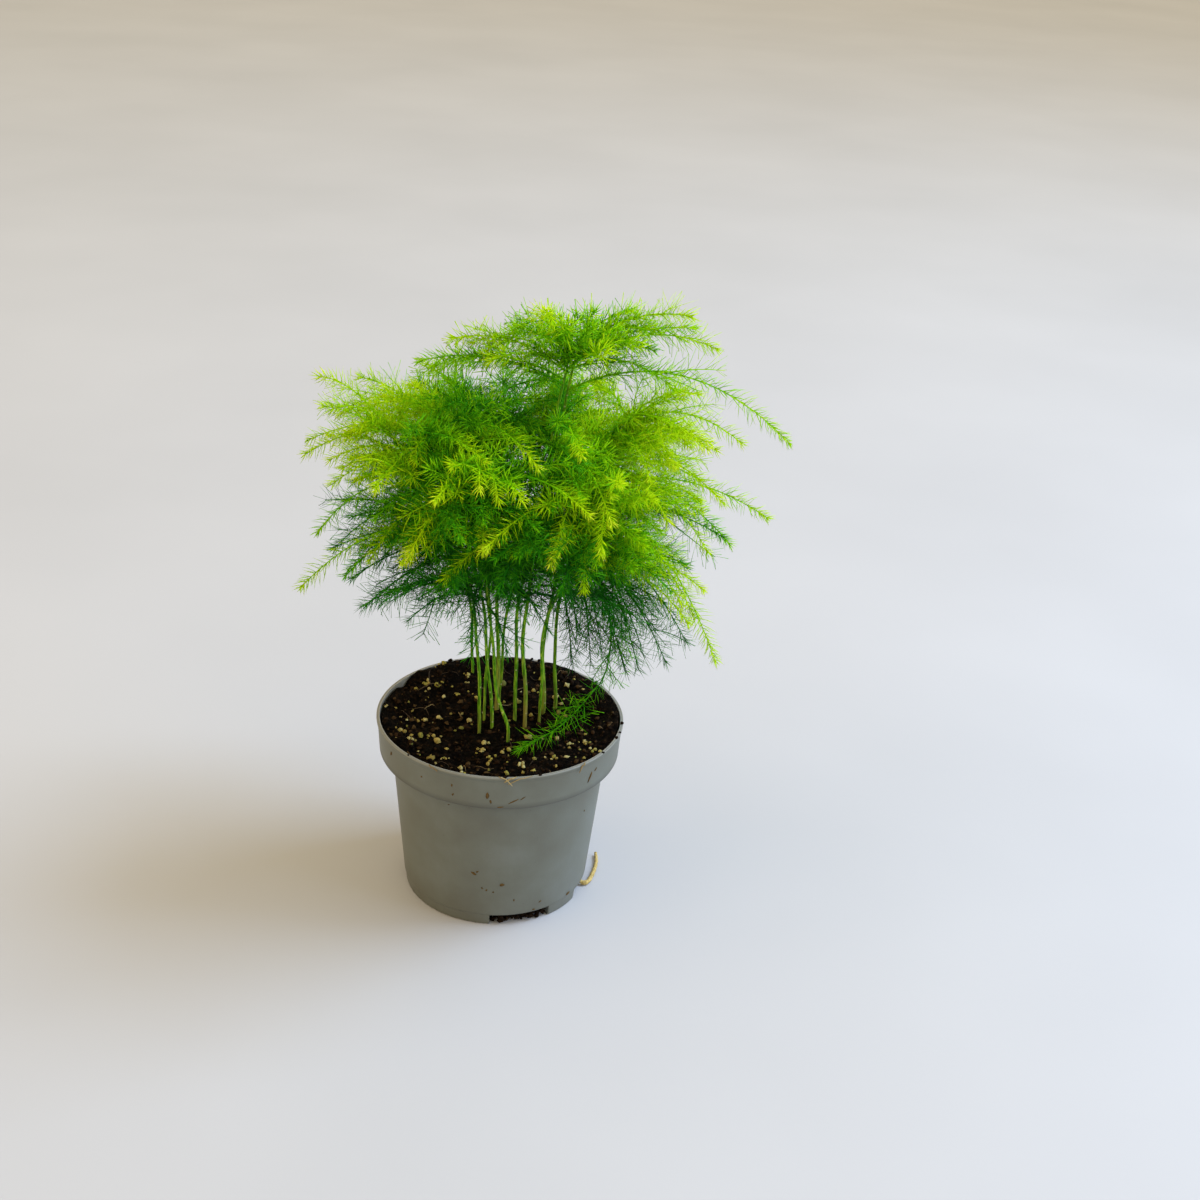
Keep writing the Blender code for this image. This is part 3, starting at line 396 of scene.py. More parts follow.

# Moist sphagnum peat: warm brown on the clods and almost black between them, with short tan fibres. The
# colour follows the same noise as the bump, so the black in the hollows is painted shade over the peat's own
# browns. Noise of 2 mm and 0.5 mm gives the clods and their fluff, and stretched noise gives the fibres.
moist_peat, add, places = start_material("moist fibrous peat")
clod = add("TexNoise", {"Vector": places, "Scale": 420.0, "Detail": 6.0, "Roughness": 0.72})
# painted shade: the low values of the clod noise, which are the hollows of the bump, are near black
browns = add("ValToRGB", {0: clod},
             stops=((0.42, "#020100"), (0.53, "#0a0602"), (0.61, "#22160b"), (0.74, "#4e3a20")))
turned_over = add("Mapping", {"Vector": places, "Rotation": (0.3, 0.2, 0.9), "Scale": (1.0, 0.16, 1.0)})
fibre = add("TexNoise", {"Vector": turned_over, "Scale": 1500.0, "Detail": 2.0})
fibre_share = add("ValToRGB", {0: fibre}, stops=((0.67, "#000000"), (0.75, "#4c4c4c")))
flecked = add("Mix", {0: fibre_share, 6: browns, 7: linear("#6c5034")}, 2, data_type="RGBA")
cloddy = add("Bump", {"Height": clod, "Distance": 0.0020, "Strength": 1.0})
add("OutputMaterial", {"Surface": add("BsdfPrincipled", {
    "Base Color": flecked, "Roughness": 0.95, "Normal": cloddy, "Specular IOR Level": 0.06})})

root_ball = solid_piece("root_ball", ball_points, [ball_quads.reshape(-1, 4), *ball_ends], [moist_peat])
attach(root_ball, "root")
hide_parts("peat")


# Perlite and loose crumbs lie on the peat. Perlite is volcanic glass popped by heat into chalky cream
# grains of up to 4 mm, some stained tan or green; the crumbs and bark chips are bits of the peat itself.
STEM_FEET = ((-0.015, 0.045), (-0.010, -0.009), (-0.004, -0.005), (-0.008, 0.003), (-0.002, 0.010),
             (-0.001, 0.018), (0.004, -0.017), (0.007, 0.002), (0.012, -0.003), (0.021, 0.009),
             (0.027, 0.014), (0.019, 0.001))
GRAIN_COUNT = 42
GRAIN_SIZES = (0.0011, 0.0021)
GRAIN_FIELD_RADIUS = 0.052
GRAIN_SUNK = 0.35
GRAIN_STEM_CLEARANCE = 0.0045
GRAIN_SPACING = 1.6
GRAIN_FLATNESS = (0.6, 0.9)
GRAIN_ROUGHNESS = 0.17
SMALL_GRAINS = 90
SMALL_GRAIN_SIZES = (0.0003, 0.0009)
SMALL_FIELD_RADIUS = 0.054
CLUSTER_SIZES = (0.0005, 0.0013)
CLUSTER_SPREAD = 0.0013
CRUMB_COUNT = 1100
CRUMB_FIELD_RADIUS = 0.0555
CRUMB_STEM_CLEARANCE = 0.0022
CRUMB_ROUGHNESS = 0.24
CHIP_COUNT = 20
CHIP_LENGTHS = (0.0010, 0.0025)
CHIP_HALF_THICKNESS = 0.0004
# Clusters of small grains, as seen from above: x, y and how many
CLUSTERS = (
    (-0.054, 0.007, 2), (-0.031, 0.046, 5), (-0.037, 0.032, 6), (-0.017, 0.041, 5), (-0.021, 0.008, 2),
    (-0.038, 0.003, 3), (-0.033, -0.013, 4), (-0.043, -0.019, 5), (-0.048, -0.012, 5), (-0.010, -0.025, 5),
    (-0.004, -0.032, 6), (-0.026, -0.033, 5), (-0.016, -0.045, 5), (0.002, -0.029, 3), (0.011, -0.038, 4),
    (0.026, -0.033, 3), (0.034, -0.018, 3), (0.043, -0.018, 5), (0.046, -0.026, 4), (0.005, 0.021, 2),
    (0.030, 0.021, 3), (0.014, -0.013, 2),
)
LUMP_ROWS = 4
LUMP_COLUMNS = 7


def lump_ball():
    """Gives a unit ball of rows and columns, closed by two poles, and its faces."""
    rise = np.radians(np.linspace(-90, 90, LUMP_ROWS + 2)[1:-1])
    outline = np.stack([np.cos(rise), np.sin(rise)], 1)
    columns = np.arange(LUMP_COLUMNS) * 360 / LUMP_COLUMNS
    points, quads, ends, _ = lathe(np.repeat(outline[None], LUMP_COLUMNS, 0), columns, (-1.0, 1.0))
    return points, [quads.reshape(-1, 4), *ends]


def repeated(faces, count, step):
    """Repeats face arrays count times; the point numbers of each copy are higher by step than the last."""
    offsets = np.arange(count)[:, None, None] * step
    return [(f[None] + offsets).reshape(-1, f.shape[1]) for f in faces]


def scattered(centres, sizes, seed, rough):
    """Puts a knobbly ball at each centre, as points, faces and the number of the ball of each point.

    Each ball is stretched by sizes (n, 3), turned at random, and its radius swells and shrinks by rough
    times the sum of three sine waves in random directions.
    """
    rng = np.random.default_rng(seed)
    ball, faces = lump_ball()
    count = len(centres)
    headings = rng.normal(size=(count, 3, 3)) * 2.6
    phases = rng.uniform(0, math.tau, (count, 1, 3))
    waves = np.sin(np.einsum("vk,nkj->nvj", ball, headings) + phases).sum(2)
    shapes = ball * (1 + rough * waves)[..., None] * sizes[:, None]
    spin, tip = rng.uniform(0, math.tau, count), rng.normal(0, 0.35, count)
    cs, sn, ct, st = np.cos(spin), np.sin(spin), np.cos(tip), np.sin(tip)
    turns = np.stack([np.stack([cs, -sn * ct, sn * st], 1), np.stack([sn, cs * ct, -cs * st], 1),
                      np.stack([0 * cs, st, ct], 1)], 1)
    points = np.einsum("nij,nvj->nvi", turns, shapes) + centres[:, None]
    owners = np.repeat(np.arange(count), len(ball))
    return points.reshape(-1, 3), repeated(faces, count, len(ball)), owners


def strewn(count, radius, seed, clearance=0.003):
    """Strews places evenly over a disc, with r = radius * sqrt(share), and leaves out those by a stem."""
    rng = np.random.default_rng(seed)
    away, angle = radius * np.sqrt(rng.random(count)), rng.uniform(0, math.tau, count)
    spots = np.stack([away * np.cos(angle), away * np.sin(angle)], 1)
    gaps = np.linalg.norm(spots[:, None] - np.array(STEM_FEET), axis=2).min(1)
    return spots[gaps > clearance]


draw = random.Random(21)
large = []
while len(large) < GRAIN_COUNT:
    distance = GRAIN_FIELD_RADIUS * math.sqrt(draw.random())
    angle = draw.uniform(0, math.tau)
    x, y = distance * math.cos(angle), distance * math.sin(angle)
    radius = draw.uniform(*GRAIN_SIZES)
    clear = all(math.dist((x, y), foot) > GRAIN_STEM_CLEARANCE + radius for foot in STEM_FEET)
    apart = all(math.dist((x, y), other[:2]) > GRAIN_SPACING * (radius + other[2]) for other in large)
    if clear and apart:
        draw.uniform(0, math.tau)
        large.append((x, y, radius, draw.uniform(*GRAIN_FLATNESS)))
large = np.array(large)
rng = np.random.default_rng(8)
spots = strewn(SMALL_GRAINS, SMALL_FIELD_RADIUS, 9)
gathered = np.repeat(np.array(CLUSTERS)[:, :2], [row[2] for row in CLUSTERS], 0)
spots = np.vstack([spots, gathered + rng.normal(0, CLUSTER_SPREAD, gathered.shape)])
small_radii = np.concatenate([rng.uniform(*SMALL_GRAIN_SIZES, len(spots) - len(gathered)),
                              rng.uniform(*CLUSTER_SIZES, len(gathered))])
spots = np.vstack([large[:, :2], spots])
radii = np.concatenate([large[:, 2], small_radii])
squash = np.concatenate([large[:, 3], rng.uniform(*GRAIN_FLATNESS, len(small_radii))])
levels = np.concatenate([peat_height(*large[:, :2].T), crumbly_height(*spots[len(large):].T)])
centres = np.column_stack([spots, levels + radii * (1 - 2 * GRAIN_SUNK) * 0.5])
sizes = np.column_stack([radii, radii * rng.uniform(0.7, 0.95, len(radii)), radii * squash])
grain_points, grain_faces, owners = scattered(centres, sizes, 31, GRAIN_ROUGHNESS)
tones = rng.random(len(radii))[owners]

# Expanded perlite: chalky and dull, off-white in the middle of the grain, with tan and green stains that
# differ from grain to grain. The pits are 0.3 mm bubbles cut open.
perlite, add, places = start_material("stained expanded perlite")
tone = add("Attribute", out="Fac", attribute_name="tone")
creams = add("ValToRGB", {0: tone}, stops=((0.0, "#8a7830"), (0.25, "#aa9848"), (0.50, "#c8c084"),
                                           (0.66, "#a89c44"), (0.84, "#8a8630"), (1.0, "#666c22")))
stain = add("TexNoise", {"Vector": places, "Scale": 900.0, "Detail": 4.0})
stain_share = add("ValToRGB", {0: stain}, stops=((0.43, "#000000"), (0.70, "#c8c8c8")))
stained = add("Mix", {0: stain_share, 6: creams, 7: linear("#625218")}, 2, data_type="RGBA")
pits = add("TexVoronoi", {"Vector": places, "Scale": 2600.0})
pitted = add("Bump", {"Height": pits, "Distance": 0.0002, "Strength": 0.6})
add("OutputMaterial", {"Surface": add("BsdfPrincipled", {
    "Base Color": stained, "Roughness": 0.85, "Normal": pitted})})

grains = solid_piece("perlite_grains", grain_points, grain_faces, [perlite], tone=tones)
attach(grains, "root")

spots = strewn(CRUMB_COUNT, CRUMB_FIELD_RADIUS, 14, CRUMB_STEM_CLEARANCE)
radii = 0.0004 + 0.0008 * np.random.default_rng(15).random(len(spots)) ** 2.0
centres = np.column_stack([spots, crumbly_height(*spots.T) + 0.4 * radii])
sizes = np.column_stack([radii * 1.15, radii * 0.9, radii * 0.7])
chip_spots = strewn(CHIP_COUNT, SMALL_FIELD_RADIUS, 16)
chip_lengths = np.random.default_rng(17).uniform(*CHIP_LENGTHS, len(chip_spots))
chip_centres = np.column_stack([chip_spots, crumbly_height(*chip_spots.T) + CHIP_HALF_THICKNESS])
chip_sizes = np.column_stack([chip_lengths, chip_lengths * 0.45, CHIP_HALF_THICKNESS + 0 * chip_lengths])
crumb_points, crumb_faces, owners = scattered(np.vstack([centres, chip_centres]),
                                              np.vstack([sizes, chip_sizes]), 32, CRUMB_ROUGHNESS)
tones = np.concatenate([0.86 * np.random.default_rng(18).random(len(spots)) ** 1.2,
                        0.6 + 0.3 * np.random.default_rng(19).random(len(chip_spots))])[owners]

# Crumbs of peat and bark: the same browns as the peat, and the chips drier and paler.
crumb_brown, add, places = start_material("peat crumb and bark chip")
tone = add("Attribute", out="Fac", attribute_name="tone")
browns = add("ValToRGB", {0: tone},
             stops=((0.0, "#070403"), (0.35, "#1a1109"), (0.70, "#382716"), (1.0, "#685434")))
fuzz = add("TexNoise", {"Vector": places, "Scale": 1400.0, "Detail": 5.0, "Roughness": 0.7})
fuzz_share = add("ValToRGB", {0: fuzz}, stops=((0.4, "#000000"), (0.75, "#909090")))
fuzzed = add("Mix", {0: fuzz_share, 6: browns, 7: linear("#080503")}, 2, data_type="RGBA")
fuzzy = add("Bump", {"Height": fuzz, "Distance": 0.0005, "Strength": 0.8})
add("OutputMaterial", {"Surface": add("BsdfPrincipled", {
    "Base Color": fuzzed, "Roughness": 0.95, "Normal": fuzzy, "Specular IOR Level": 0.06})})

crumbs = solid_piece("peat_crumbs", crumb_points, crumb_faces, [crumb_brown], tone=tones)
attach(crumbs, "root")


# Fibres are dry roots and moss stalks from the peat, tan to brown and about half a millimetre thick. They
# lie loosely on the peat. A few hang over the rim at the front, and are drawn thicker so that they show.
FIBRE_COUNT = 26
FIBRE_KNOTS = 9
FIBRE_SIDES = 5
FIBRE_LENGTHS = (0.004, 0.013)
FIBRE_RADII = (0.00010, 0.00022)
FIBRE_FIELD_RADIUS = 0.052
FIBRE_REACH = 0.0565
RIM_FIBRE_THICKNESS = 1.9
# Fibres over the rim: azimuth, radius where the fibre starts, length, and slant from straight down
RIM_FIBRES = ((2.0, 0.0590, 0.0100, 40.0), (6.5, 0.0592, 0.0070, -55.0), (12.0, 0.0594, 0.0130, -62.0),
              (41.0, 0.0596, 0.0080, -30.0), (-31.0, 0.0594, 0.0060, 62.0))


def unit(vectors):
    """Scales vectors to length one."""
    return vectors / (np.linalg.norm(vectors, axis=-1, keepdims=True) + 1e-12)


def tubes(paths, radii, sides, phase=0.0):
    """Sweeps a ring of sides along every path of paths (n, m, 3), with a pole at each end.

    A ring at p is p + r (cos a u + sin a v). The direction u is carried from ring to ring by taking away
    its part along the path, so that the tube doesn't twist.
    """
    count, length = paths.shape[:2]
    courses = unit(np.gradient(paths, axis=1))
    across = np.empty_like(courses)
    least = np.eye(3)[np.abs(courses[:, 0]).argmin(1)]
    carried = unit(np.cross(courses[:, 0], least))
    for k in range(length):
        carried = unit(carried - (carried * courses[:, k]).sum(1, keepdims=True) * courses[:, k])
        across[:, k] = carried
    upward = np.cross(courses, across)
    a = phase + np.arange(sides) * math.tau / sides
    spread = np.cos(a)[:, None] * across[:, :, None] + np.sin(a)[:, None] * upward[:, :, None]
    rings = paths[:, :, None] + radii[..., None, None] * spread
    points = np.concatenate([rings.reshape(count, -1, 3), paths[:, :1], paths[:, -1:]], 1)
    here = np.arange(length - 1)[:, None] * sides + np.arange(sides)
    beside = np.arange(length - 1)[:, None] * sides + np.roll(np.arange(sides), -1)
    quads = np.stack([here, beside, beside + sides, here + sides], -1).reshape(-1, 4)
    total, last = points.shape[1], (length - 1) * sides
    ring = np.arange(sides)
    first_end = np.stack([np.roll(ring, -1), ring, np.full(sides, total - 2)], -1)
    last_end = np.stack([last + ring, last + np.roll(ring, -1), np.full(sides, total - 1)], -1)
    return points.reshape(-1, 3), repeated((quads, first_end, last_end), count, total), total


rng = np.random.default_rng(41)
spots = strewn(FIBRE_COUNT, FIBRE_FIELD_RADIUS, 42)
fibre_turn = rng.uniform(0, math.tau, len(spots))
fibre_length = rng.uniform(*FIBRE_LENGTHS, len(spots))
bend = rng.normal(0, 1.2, len(spots))
t = np.linspace(-0.5, 0.5, FIBRE_KNOTS)
heading = fibre_turn[:, None] + bend[:, None] * t
steps = fibre_length[:, None] / FIBRE_KNOTS
fibre_x = spots[:, :1] + np.cumsum(np.cos(heading) * steps, 1)
fibre_y = spots[:, 1:] + np.cumsum(np.sin(heading) * steps, 1)
shrink = np.minimum(1.0, FIBRE_REACH / np.hypot(fibre_x, fibre_y))
fibre_x, fibre_y = fibre_x * shrink, fibre_y * shrink
looseness = 0.0003 + 0.0012 * rng.random(len(spots))[:, None] * (1 - 4 * t * t)
fibre_z = crumbly_height(fibre_x, fibre_y) + looseness
lying = np.stack([fibre_x, fibre_y, fibre_z], -1)
azimuth, start, length, slant = np.array(RIM_FIBRES).T[..., None]
over = np.linspace(0, 1, FIBRE_KNOTS)
side = np.radians(azimuth) + length * np.sin(np.radians(slant)) * (over - 0.3) / RIM_RADIUS
reach = np.where(over < 0.4, start + over * 0.004, RIM_RADIUS + 0.0003 + 0.0002 * over)
drop = POT_HEIGHT + 0.0003 - length * np.cos(np.radians(slant)) * np.clip(over - 0.4, 0, 1) ** 1.2
rim_paths = np.stack([reach * np.sin(side), -reach * np.cos(side), drop], -1)
fibre_paths = np.concatenate([lying, rim_paths])
taper = 1 - 0.5 * np.abs(np.linspace(-1, 1, FIBRE_KNOTS)) ** 3
fibre_radii = rng.uniform(*FIBRE_RADII, (len(fibre_paths), 1)) * taper
fibre_radii[len(lying):] *= RIM_FIBRE_THICKNESS
fibre_points, fibre_faces, per_fibre = tubes(fibre_paths, fibre_radii, FIBRE_SIDES)
fibre_tones = np.concatenate([rng.random(len(lying)), np.linspace(1.0, 0.80, len(rim_paths))])
tones = np.repeat(fibre_tones, per_fibre)

# Dry plant fibre: woody, dull, from straw to dark brown, with darker bands where bark is left on it.
dry_fibre, add, places = start_material("dry root fibre")
tone = add("Attribute", out="Fac", attribute_name="tone")
straw = add("ValToRGB", {0: tone},
            stops=((0.0, "#261b0e"), (0.50, "#4a391f"), (0.80, "#74603a"), (1.0, "#a8945e")))
bark = add("TexNoise", {"Vector": places, "Scale": 700.0, "Detail": 3.0})
bark_share = add("ValToRGB", {0: bark}, stops=((0.50, "#000000"), (0.72, "#a8a8a8")))
barked = add("Mix", {0: bark_share, 6: straw, 7: linear("#3c2818")}, 2, data_type="RGBA")
add("OutputMaterial", {"Surface": add("BsdfPrincipled", {"Base Color": barked, "Roughness": 0.8})})

fibres = solid_piece("peat_fibres", fibre_points, fibre_faces, [dry_fibre], tone=tones)
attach(fibres, "root")


# Splashes of peat have dried on the pot's collar and wall, in the front pocket and along the rim: flat
# smears and small clods, a fraction of a millimetre proud of the plastic that they stick to.
# Each is azimuth, height, half length, half width, thickness and turn from level.
SMEARS = (
    (-21.0, 0.0850, 0.0011, 0.0007, 0.0003, 80), (-37.0, 0.0842, 0.0008, 0.0006, 0.0003, 20),
    (-20.5, 0.0800, 0.0010, 0.0007, 0.0003, 60), (-4.5, 0.0822, 0.0020, 0.0011, 0.0005, 82),
    (-3.0, 0.0790, 0.0013, 0.0007, 0.0003, 100), (7.0, 0.0790, 0.0034, 0.0006, 0.0003, 28),
    (11.5, 0.0806, 0.0018, 0.0004, 0.0003, 35), (1.5, 0.0760, 0.0020, 0.0005, 0.0003, 5),
    (47.0, 0.0828, 0.0036, 0.0008, 0.0005, 66), (50.5, 0.0852, 0.0014, 0.0006, 0.0004, 40),
    (-59.0, 0.0862, 0.0016, 0.0009, 0.0004, 60), (-12.0, 0.0310, 0.0018, 0.0009, 0.0003, 140),
    (-10.0, 0.0322, 0.0010, 0.0006, 0.0003, 40), (4.5, 0.0250, 0.0014, 0.0012, 0.0007, 10),
    (-4.5, 0.0215, 0.0008, 0.0006, 0.0003, 70), (-0.5, 0.0205, 0.0006, 0.0005, 0.0003, 20),
    (-7.0, 0.0225, 0.0007, 0.0005, 0.0003, 120), (56.0, 0.0560, 0.0006, 0.0005, 0.0003, 60),
    (25.0, 0.0070, 0.0010, 0.0006, 0.0004, 0), (29.0, 0.0110, 0.0009, 0.0005, 0.0003, 30),
    (-26.0, 0.0690, 0.0007, 0.0004, 0.0002, 30), (12.0, 0.0150, 0.0008, 0.0006, 0.0003, 90),
    (52.0, 0.0075, 0.0018, 0.0008, 0.0006, 10), (140.0, 0.0820, 0.0022, 0.0009, 0.0004, 70),
    (163.0, 0.0400, 0.0014, 0.0010, 0.0004, 20), (-120.0, 0.0835, 0.0018, 0.0008, 0.0003, 45),
    (-95.0, 0.0300, 0.0012, 0.0009, 0.0004, 75), (110.0, 0.0180, 0.0016, 0.0010, 0.0005, 15),
)
# Clods: azimuth, radius from the axis, height and size
CLODS = (
    (8.0, 0.0405, 0.0040, 0.0017), (13.0, 0.0415, 0.0044, 0.0014), (18.0, 0.0408, 0.0039, 0.0019),
    (22.5, 0.0418, 0.0045, 0.0013), (26.0, 0.0402, 0.0042, 0.0016), (15.5, 0.0395, 0.0036, 0.0014),
    (31.0, 0.0412, 0.0046, 0.0011), (4.0, 0.0412, 0.0047, 0.0010), (76.0, 0.0410, 0.0042, 0.0017),
    (84.0, 0.0405, 0.0040, 0.0019), (91.0, 0.0414, 0.0044, 0.0013), (197.0, 0.0408, 0.0041, 0.0018),
    (205.0, 0.0412, 0.0045, 0.0013), (262.0, 0.0406, 0.0041, 0.0017), (252.0, 0.0412, 0.0046, 0.0012),
    (70.0, 0.0594, 0.0926, 0.0011), (75.5, 0.0597, 0.0925, 0.0008), (84.0, 0.0594, 0.0927, 0.0012),
    (55.0, 0.0596, 0.0925, 0.0007), (19.0, 0.0594, 0.0926, 0.0009), (3.0, 0.0593, 0.0927, 0.0010),
    (-45.0, 0.0595, 0.0925, 0.0006), (126.0, 0.0592, 0.0926, 0.0012), (129.0, 0.0594, 0.0925, 0.0007),
    (161.0, 0.0591, 0.0927, 0.0013), (165.0, 0.0594, 0.0926, 0.0008), (186.0, 0.0593, 0.0926, 0.0010),
    (207.0, 0.0592, 0.0927, 0.0012), (211.0, 0.0594, 0.0926, 0.0007),
)
# Peat packed into the front pocket: how many clods, and between which azimuths, radii and heights
POCKET_CLODS = 110
POCKET_FILL = ((-1.0, 0.0375, 0.0010), (34.0, 0.0442, 0.0040))
POCKET_CLOD_SIZES = (0.0009, 0.0019)
SMEAR_SCALE = (0.85, 0.70)
CLOD_ROUGHNESS = 0.14


def wall_radius(z):
    """Gives the radius of the pot's outside at a height, on the line of the wall or of the collar."""
    wall = BASE_RADIUS + FOOT_BAND_FLARE + (WALL_TOP_RADIUS - BASE_RADIUS - FOOT_BAND_FLARE) * (
        z - FOOT_BAND_HEIGHT) / (COLLAR_FOOT_Z - FOOT_BAND_HEIGHT)
    collar = COLLAR_FOOT_RADIUS + (RIM_RADIUS - RIM_BEAD_STEP - COLLAR_FOOT_RADIUS) * (
        z - COLLAR_FOOT_Z) / (POT_HEIGHT - RIM_BEAD_HEIGHT - COLLAR_FOOT_Z)
    return np.where(z > COLLAR_FOOT_Z, collar, wall)


azimuth, height_up, long_half, wide_half, thick, slant = np.array(SMEARS).T[..., None]
long_half, wide_half = SMEAR_SCALE[0] * long_half, SMEAR_SCALE[1] * wide_half
ball, lump_faces = lump_ball()
rng = np.random.default_rng(51)
edge = 1 + 0.22 * np.sin(ball @ rng.normal(size=(3, len(SMEARS))) * 5 + rng.uniform(0, 6, len(SMEARS))).T
along_x, along_z = ball[:, 0] * long_half * edge, ball[:, 1] * wide_half * edge
slope = np.radians(slant)
sideways = along_x * np.cos(slope) - along_z * np.sin(slope)
upwards = height_up + along_x * np.sin(slope) + along_z * np.cos(slope)
out = wall_radius(upwards) + thick * ball[:, 2] * 0.8
angle = np.radians(azimuth) + sideways / out
smear_points = np.stack([out * np.sin(angle), -out * np.cos(angle), upwards], -1).reshape(-1, 3)
smear_faces = repeated(lump_faces, len(SMEARS), len(ball))
packed = np.random.default_rng(54).uniform(*POCKET_FILL, (POCKET_CLODS, 3))
packed = np.column_stack([packed, np.random.default_rng(55).uniform(*POCKET_CLOD_SIZES, POCKET_CLODS)])
azimuth, away, level, size = np.vstack([CLODS, packed]).T
angle = np.radians(azimuth)
clod_points, clod_faces, _ = scattered(np.stack([away * np.sin(angle), -away * np.cos(angle), level], 1),
                                       np.stack([size, size * 0.8, size * 0.6], 1), 52,
                                       CLOD_ROUGHNESS)
clod_points[:, 2] = np.maximum(clod_points[:, 2], 0.0001)
dirt_faces = smear_faces + [f + len(smear_points) for f in clod_faces]
dirt_points = np.vstack([smear_points, clod_points])
shades = np.random.default_rng(53).random(len(dirt_points))
in_smear = np.arange(len(dirt_points)) < len(smear_points)
dirt_tones = np.where(in_smear, 0.84 + 0.16 * shades, 0.05 + 0.5 * shades)
dirt = solid_piece("dried_peat_splashes", dirt_points, dirt_faces, [crumb_brown], tone=dirt_tones)
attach(dirt, "root")


# Each frond is one shoot of the fern: a wiry green stem, arching sprays, side twigs, and whorls of needles,
# which are fine leaf-like shoots of living tissue. It grew in one piece, so it is one piece here too.
# A stem is its foot (x, y), a point half way up, its top, and its radius at the foot.
STEM_FOOT_Z = 0.0620
STEM_FREE_Z = 0.0940
STEM_TOP_RADIUS = 0.0005
STEM_SWAY = 0.0006
STEM_STEPS = 3
STEM_RINGS = 60
STEM_SIDES = 9
STEMS = (
    (STEM_FEET[0], (-0.018, 0.045, 0.132), (-0.046, 0.038, 0.240), 0.0008),
    (STEM_FEET[1], (-0.015, -0.013, 0.160), (-0.054, -0.020, 0.246), 0.0009),
    (STEM_FEET[2], (-0.010, -0.004, 0.150), (-0.032, -0.012, 0.252), 0.0009),
    (STEM_FEET[3], (-0.007, 0.005, 0.150), (-0.020, 0.014, 0.249), 0.0007),
    (STEM_FEET[4], (-0.003, 0.012, 0.145), (-0.004, 0.030, 0.250), 0.0012),
    (STEM_FEET[5], (0.002, 0.022, 0.140), (0.018, 0.050, 0.238), 0.0008),
    (STEM_FEET[6], (-0.003, -0.016, 0.120), (-0.014, -0.042, 0.236), 0.0009),
    (STEM_FEET[7], (0.007, 0.003, 0.150), (0.030, 0.004, 0.282), 0.0010),
    (STEM_FEET[8], (0.010, -0.006, 0.150), (0.023, -0.020, 0.279), 0.0011),
    (STEM_FEET[9], (0.021, 0.009, 0.145), (0.052, -0.004, 0.252), 0.0012),
    (STEM_FEET[10], (0.026, 0.017, 0.142), (0.058, 0.034, 0.236), 0.0010),
    (STEM_FEET[11], (0.020, -0.006, 0.145), (0.044, -0.036, 0.222), 0.0008),
)
STEM_AGES = (0.15, 0.30, 0.20, 0.35, 0.75, 0.30, 0.10, 0.35, 0.85, 0.55, 0.40, 0.25)

# Sprays that draw the outline: number of the stem, height on it, tip, rise of the arch, youth of the tip
OUTLINE_SPRAYS = (
    # crown
    (8, 0.276, (0.012, -0.048, 0.309), 0.004, 1.00),
    (7, 0.279, (0.076, -0.014, 0.299), 0.006, 0.85),
    (7, 0.272, (0.090, 0.002, 0.280), 0.009, 0.85),
    (7, 0.258, (0.126, -0.002, 0.239), 0.019, 0.70),
    (8, 0.270, (-0.036, 0.002, 0.266), 0.008, 0.60),
    (8, 0.277, (-0.018, -0.014, 0.283), 0.007, 0.80),
    (7, 0.276, (0.044, 0.054, 0.266), 0.006, 0.55),
    (7, 0.274, (-0.006, 0.034, 0.272), 0.005, 0.55),
    # right
    (9, 0.246, (0.102, -0.018, 0.244), 0.009, 0.85),
    (9, 0.250, (0.084, -0.044, 0.250), 0.005, 1.00),
    (9, 0.214, (0.120, 0.000, 0.201), 0.010, 0.75),
    (10, 0.206, (0.106, 0.016, 0.180), 0.010, 0.55),
    (9, 0.232, (0.094, -0.034, 0.222), 0.008, 0.95),
    (9, 0.196, (0.099, -0.024, 0.138), 0.024, 0.85),
    (11, 0.190, (0.088, -0.040, 0.182), 0.008, 0.95),
    (10, 0.168, (0.080, 0.012, 0.117), 0.013, -0.10),
    (11, 0.162, (0.066, -0.006, 0.146), 0.008, -0.05),
    # left
    (1, 0.242, (-0.085, -0.002, 0.261), 0.006, 0.95),
    (0, 0.222, (-0.096, 0.036, 0.216), 0.006, 0.80),
    (0, 0.234, (-0.078, 0.052, 0.226), 0.005, 0.75),
    (2, 0.236, (-0.089, -0.022, 0.232), 0.009, 0.90),
    (1, 0.196, (-0.090, -0.040, 0.176), 0.011, 0.80),
    (0, 0.186, (-0.082, 0.020, 0.168), 0.009, 0.05),
    (1, 0.166, (-0.067, 0.000, 0.148), 0.006, -0.15),
    (2, 0.180, (-0.062, -0.036, 0.166), 0.006, 0.00),
    # front
    (6, 0.230, (0.034, -0.072, 0.229), 0.009, 1.00),
    (6, 0.226, (0.006, -0.076, 0.236), 0.007, 1.00),
    (6, 0.220, (-0.030, -0.074, 0.234), 0.008, 1.00),
    (2, 0.206, (-0.044, -0.062, 0.200), 0.009, 0.95),
    (6, 0.200, (-0.010, -0.070, 0.210), 0.010, 0.95),
    (11, 0.200, (0.020, -0.068, 0.208), 0.009, 1.00),
    (8, 0.246, (0.030, -0.064, 0.252), 0.006, 1.00),
    (11, 0.214, (0.046, -0.068, 0.242), 0.006, 0.95),
    # back
    (5, 0.226, (0.010, 0.094, 0.214), 0.007, 0.45),
    (5, 0.200, (0.046, 0.088, 0.188), 0.007, 0.30),
    (0, 0.206, (-0.042, 0.092, 0.196), 0.006, 0.30),
    (3, 0.240, (-0.024, 0.072, 0.226), 0.006, 0.50),
    (10, 0.216, (0.072, 0.082, 0.198), 0.007, 0.45),
    (4, 0.182, (-0.010, 0.086, 0.166), 0.007, 0.05),
)
SPRAYS_PER_STEM = 5
FEWEST_FILLERS = 1
FILLER_LOWEST = 0.160
FILLER_CROWDING = 0.7
FILLER_LENGTHS = (0.038, 0.078)
HEAD_CENTRE = np.array((0.010, 0.004, 0.212))
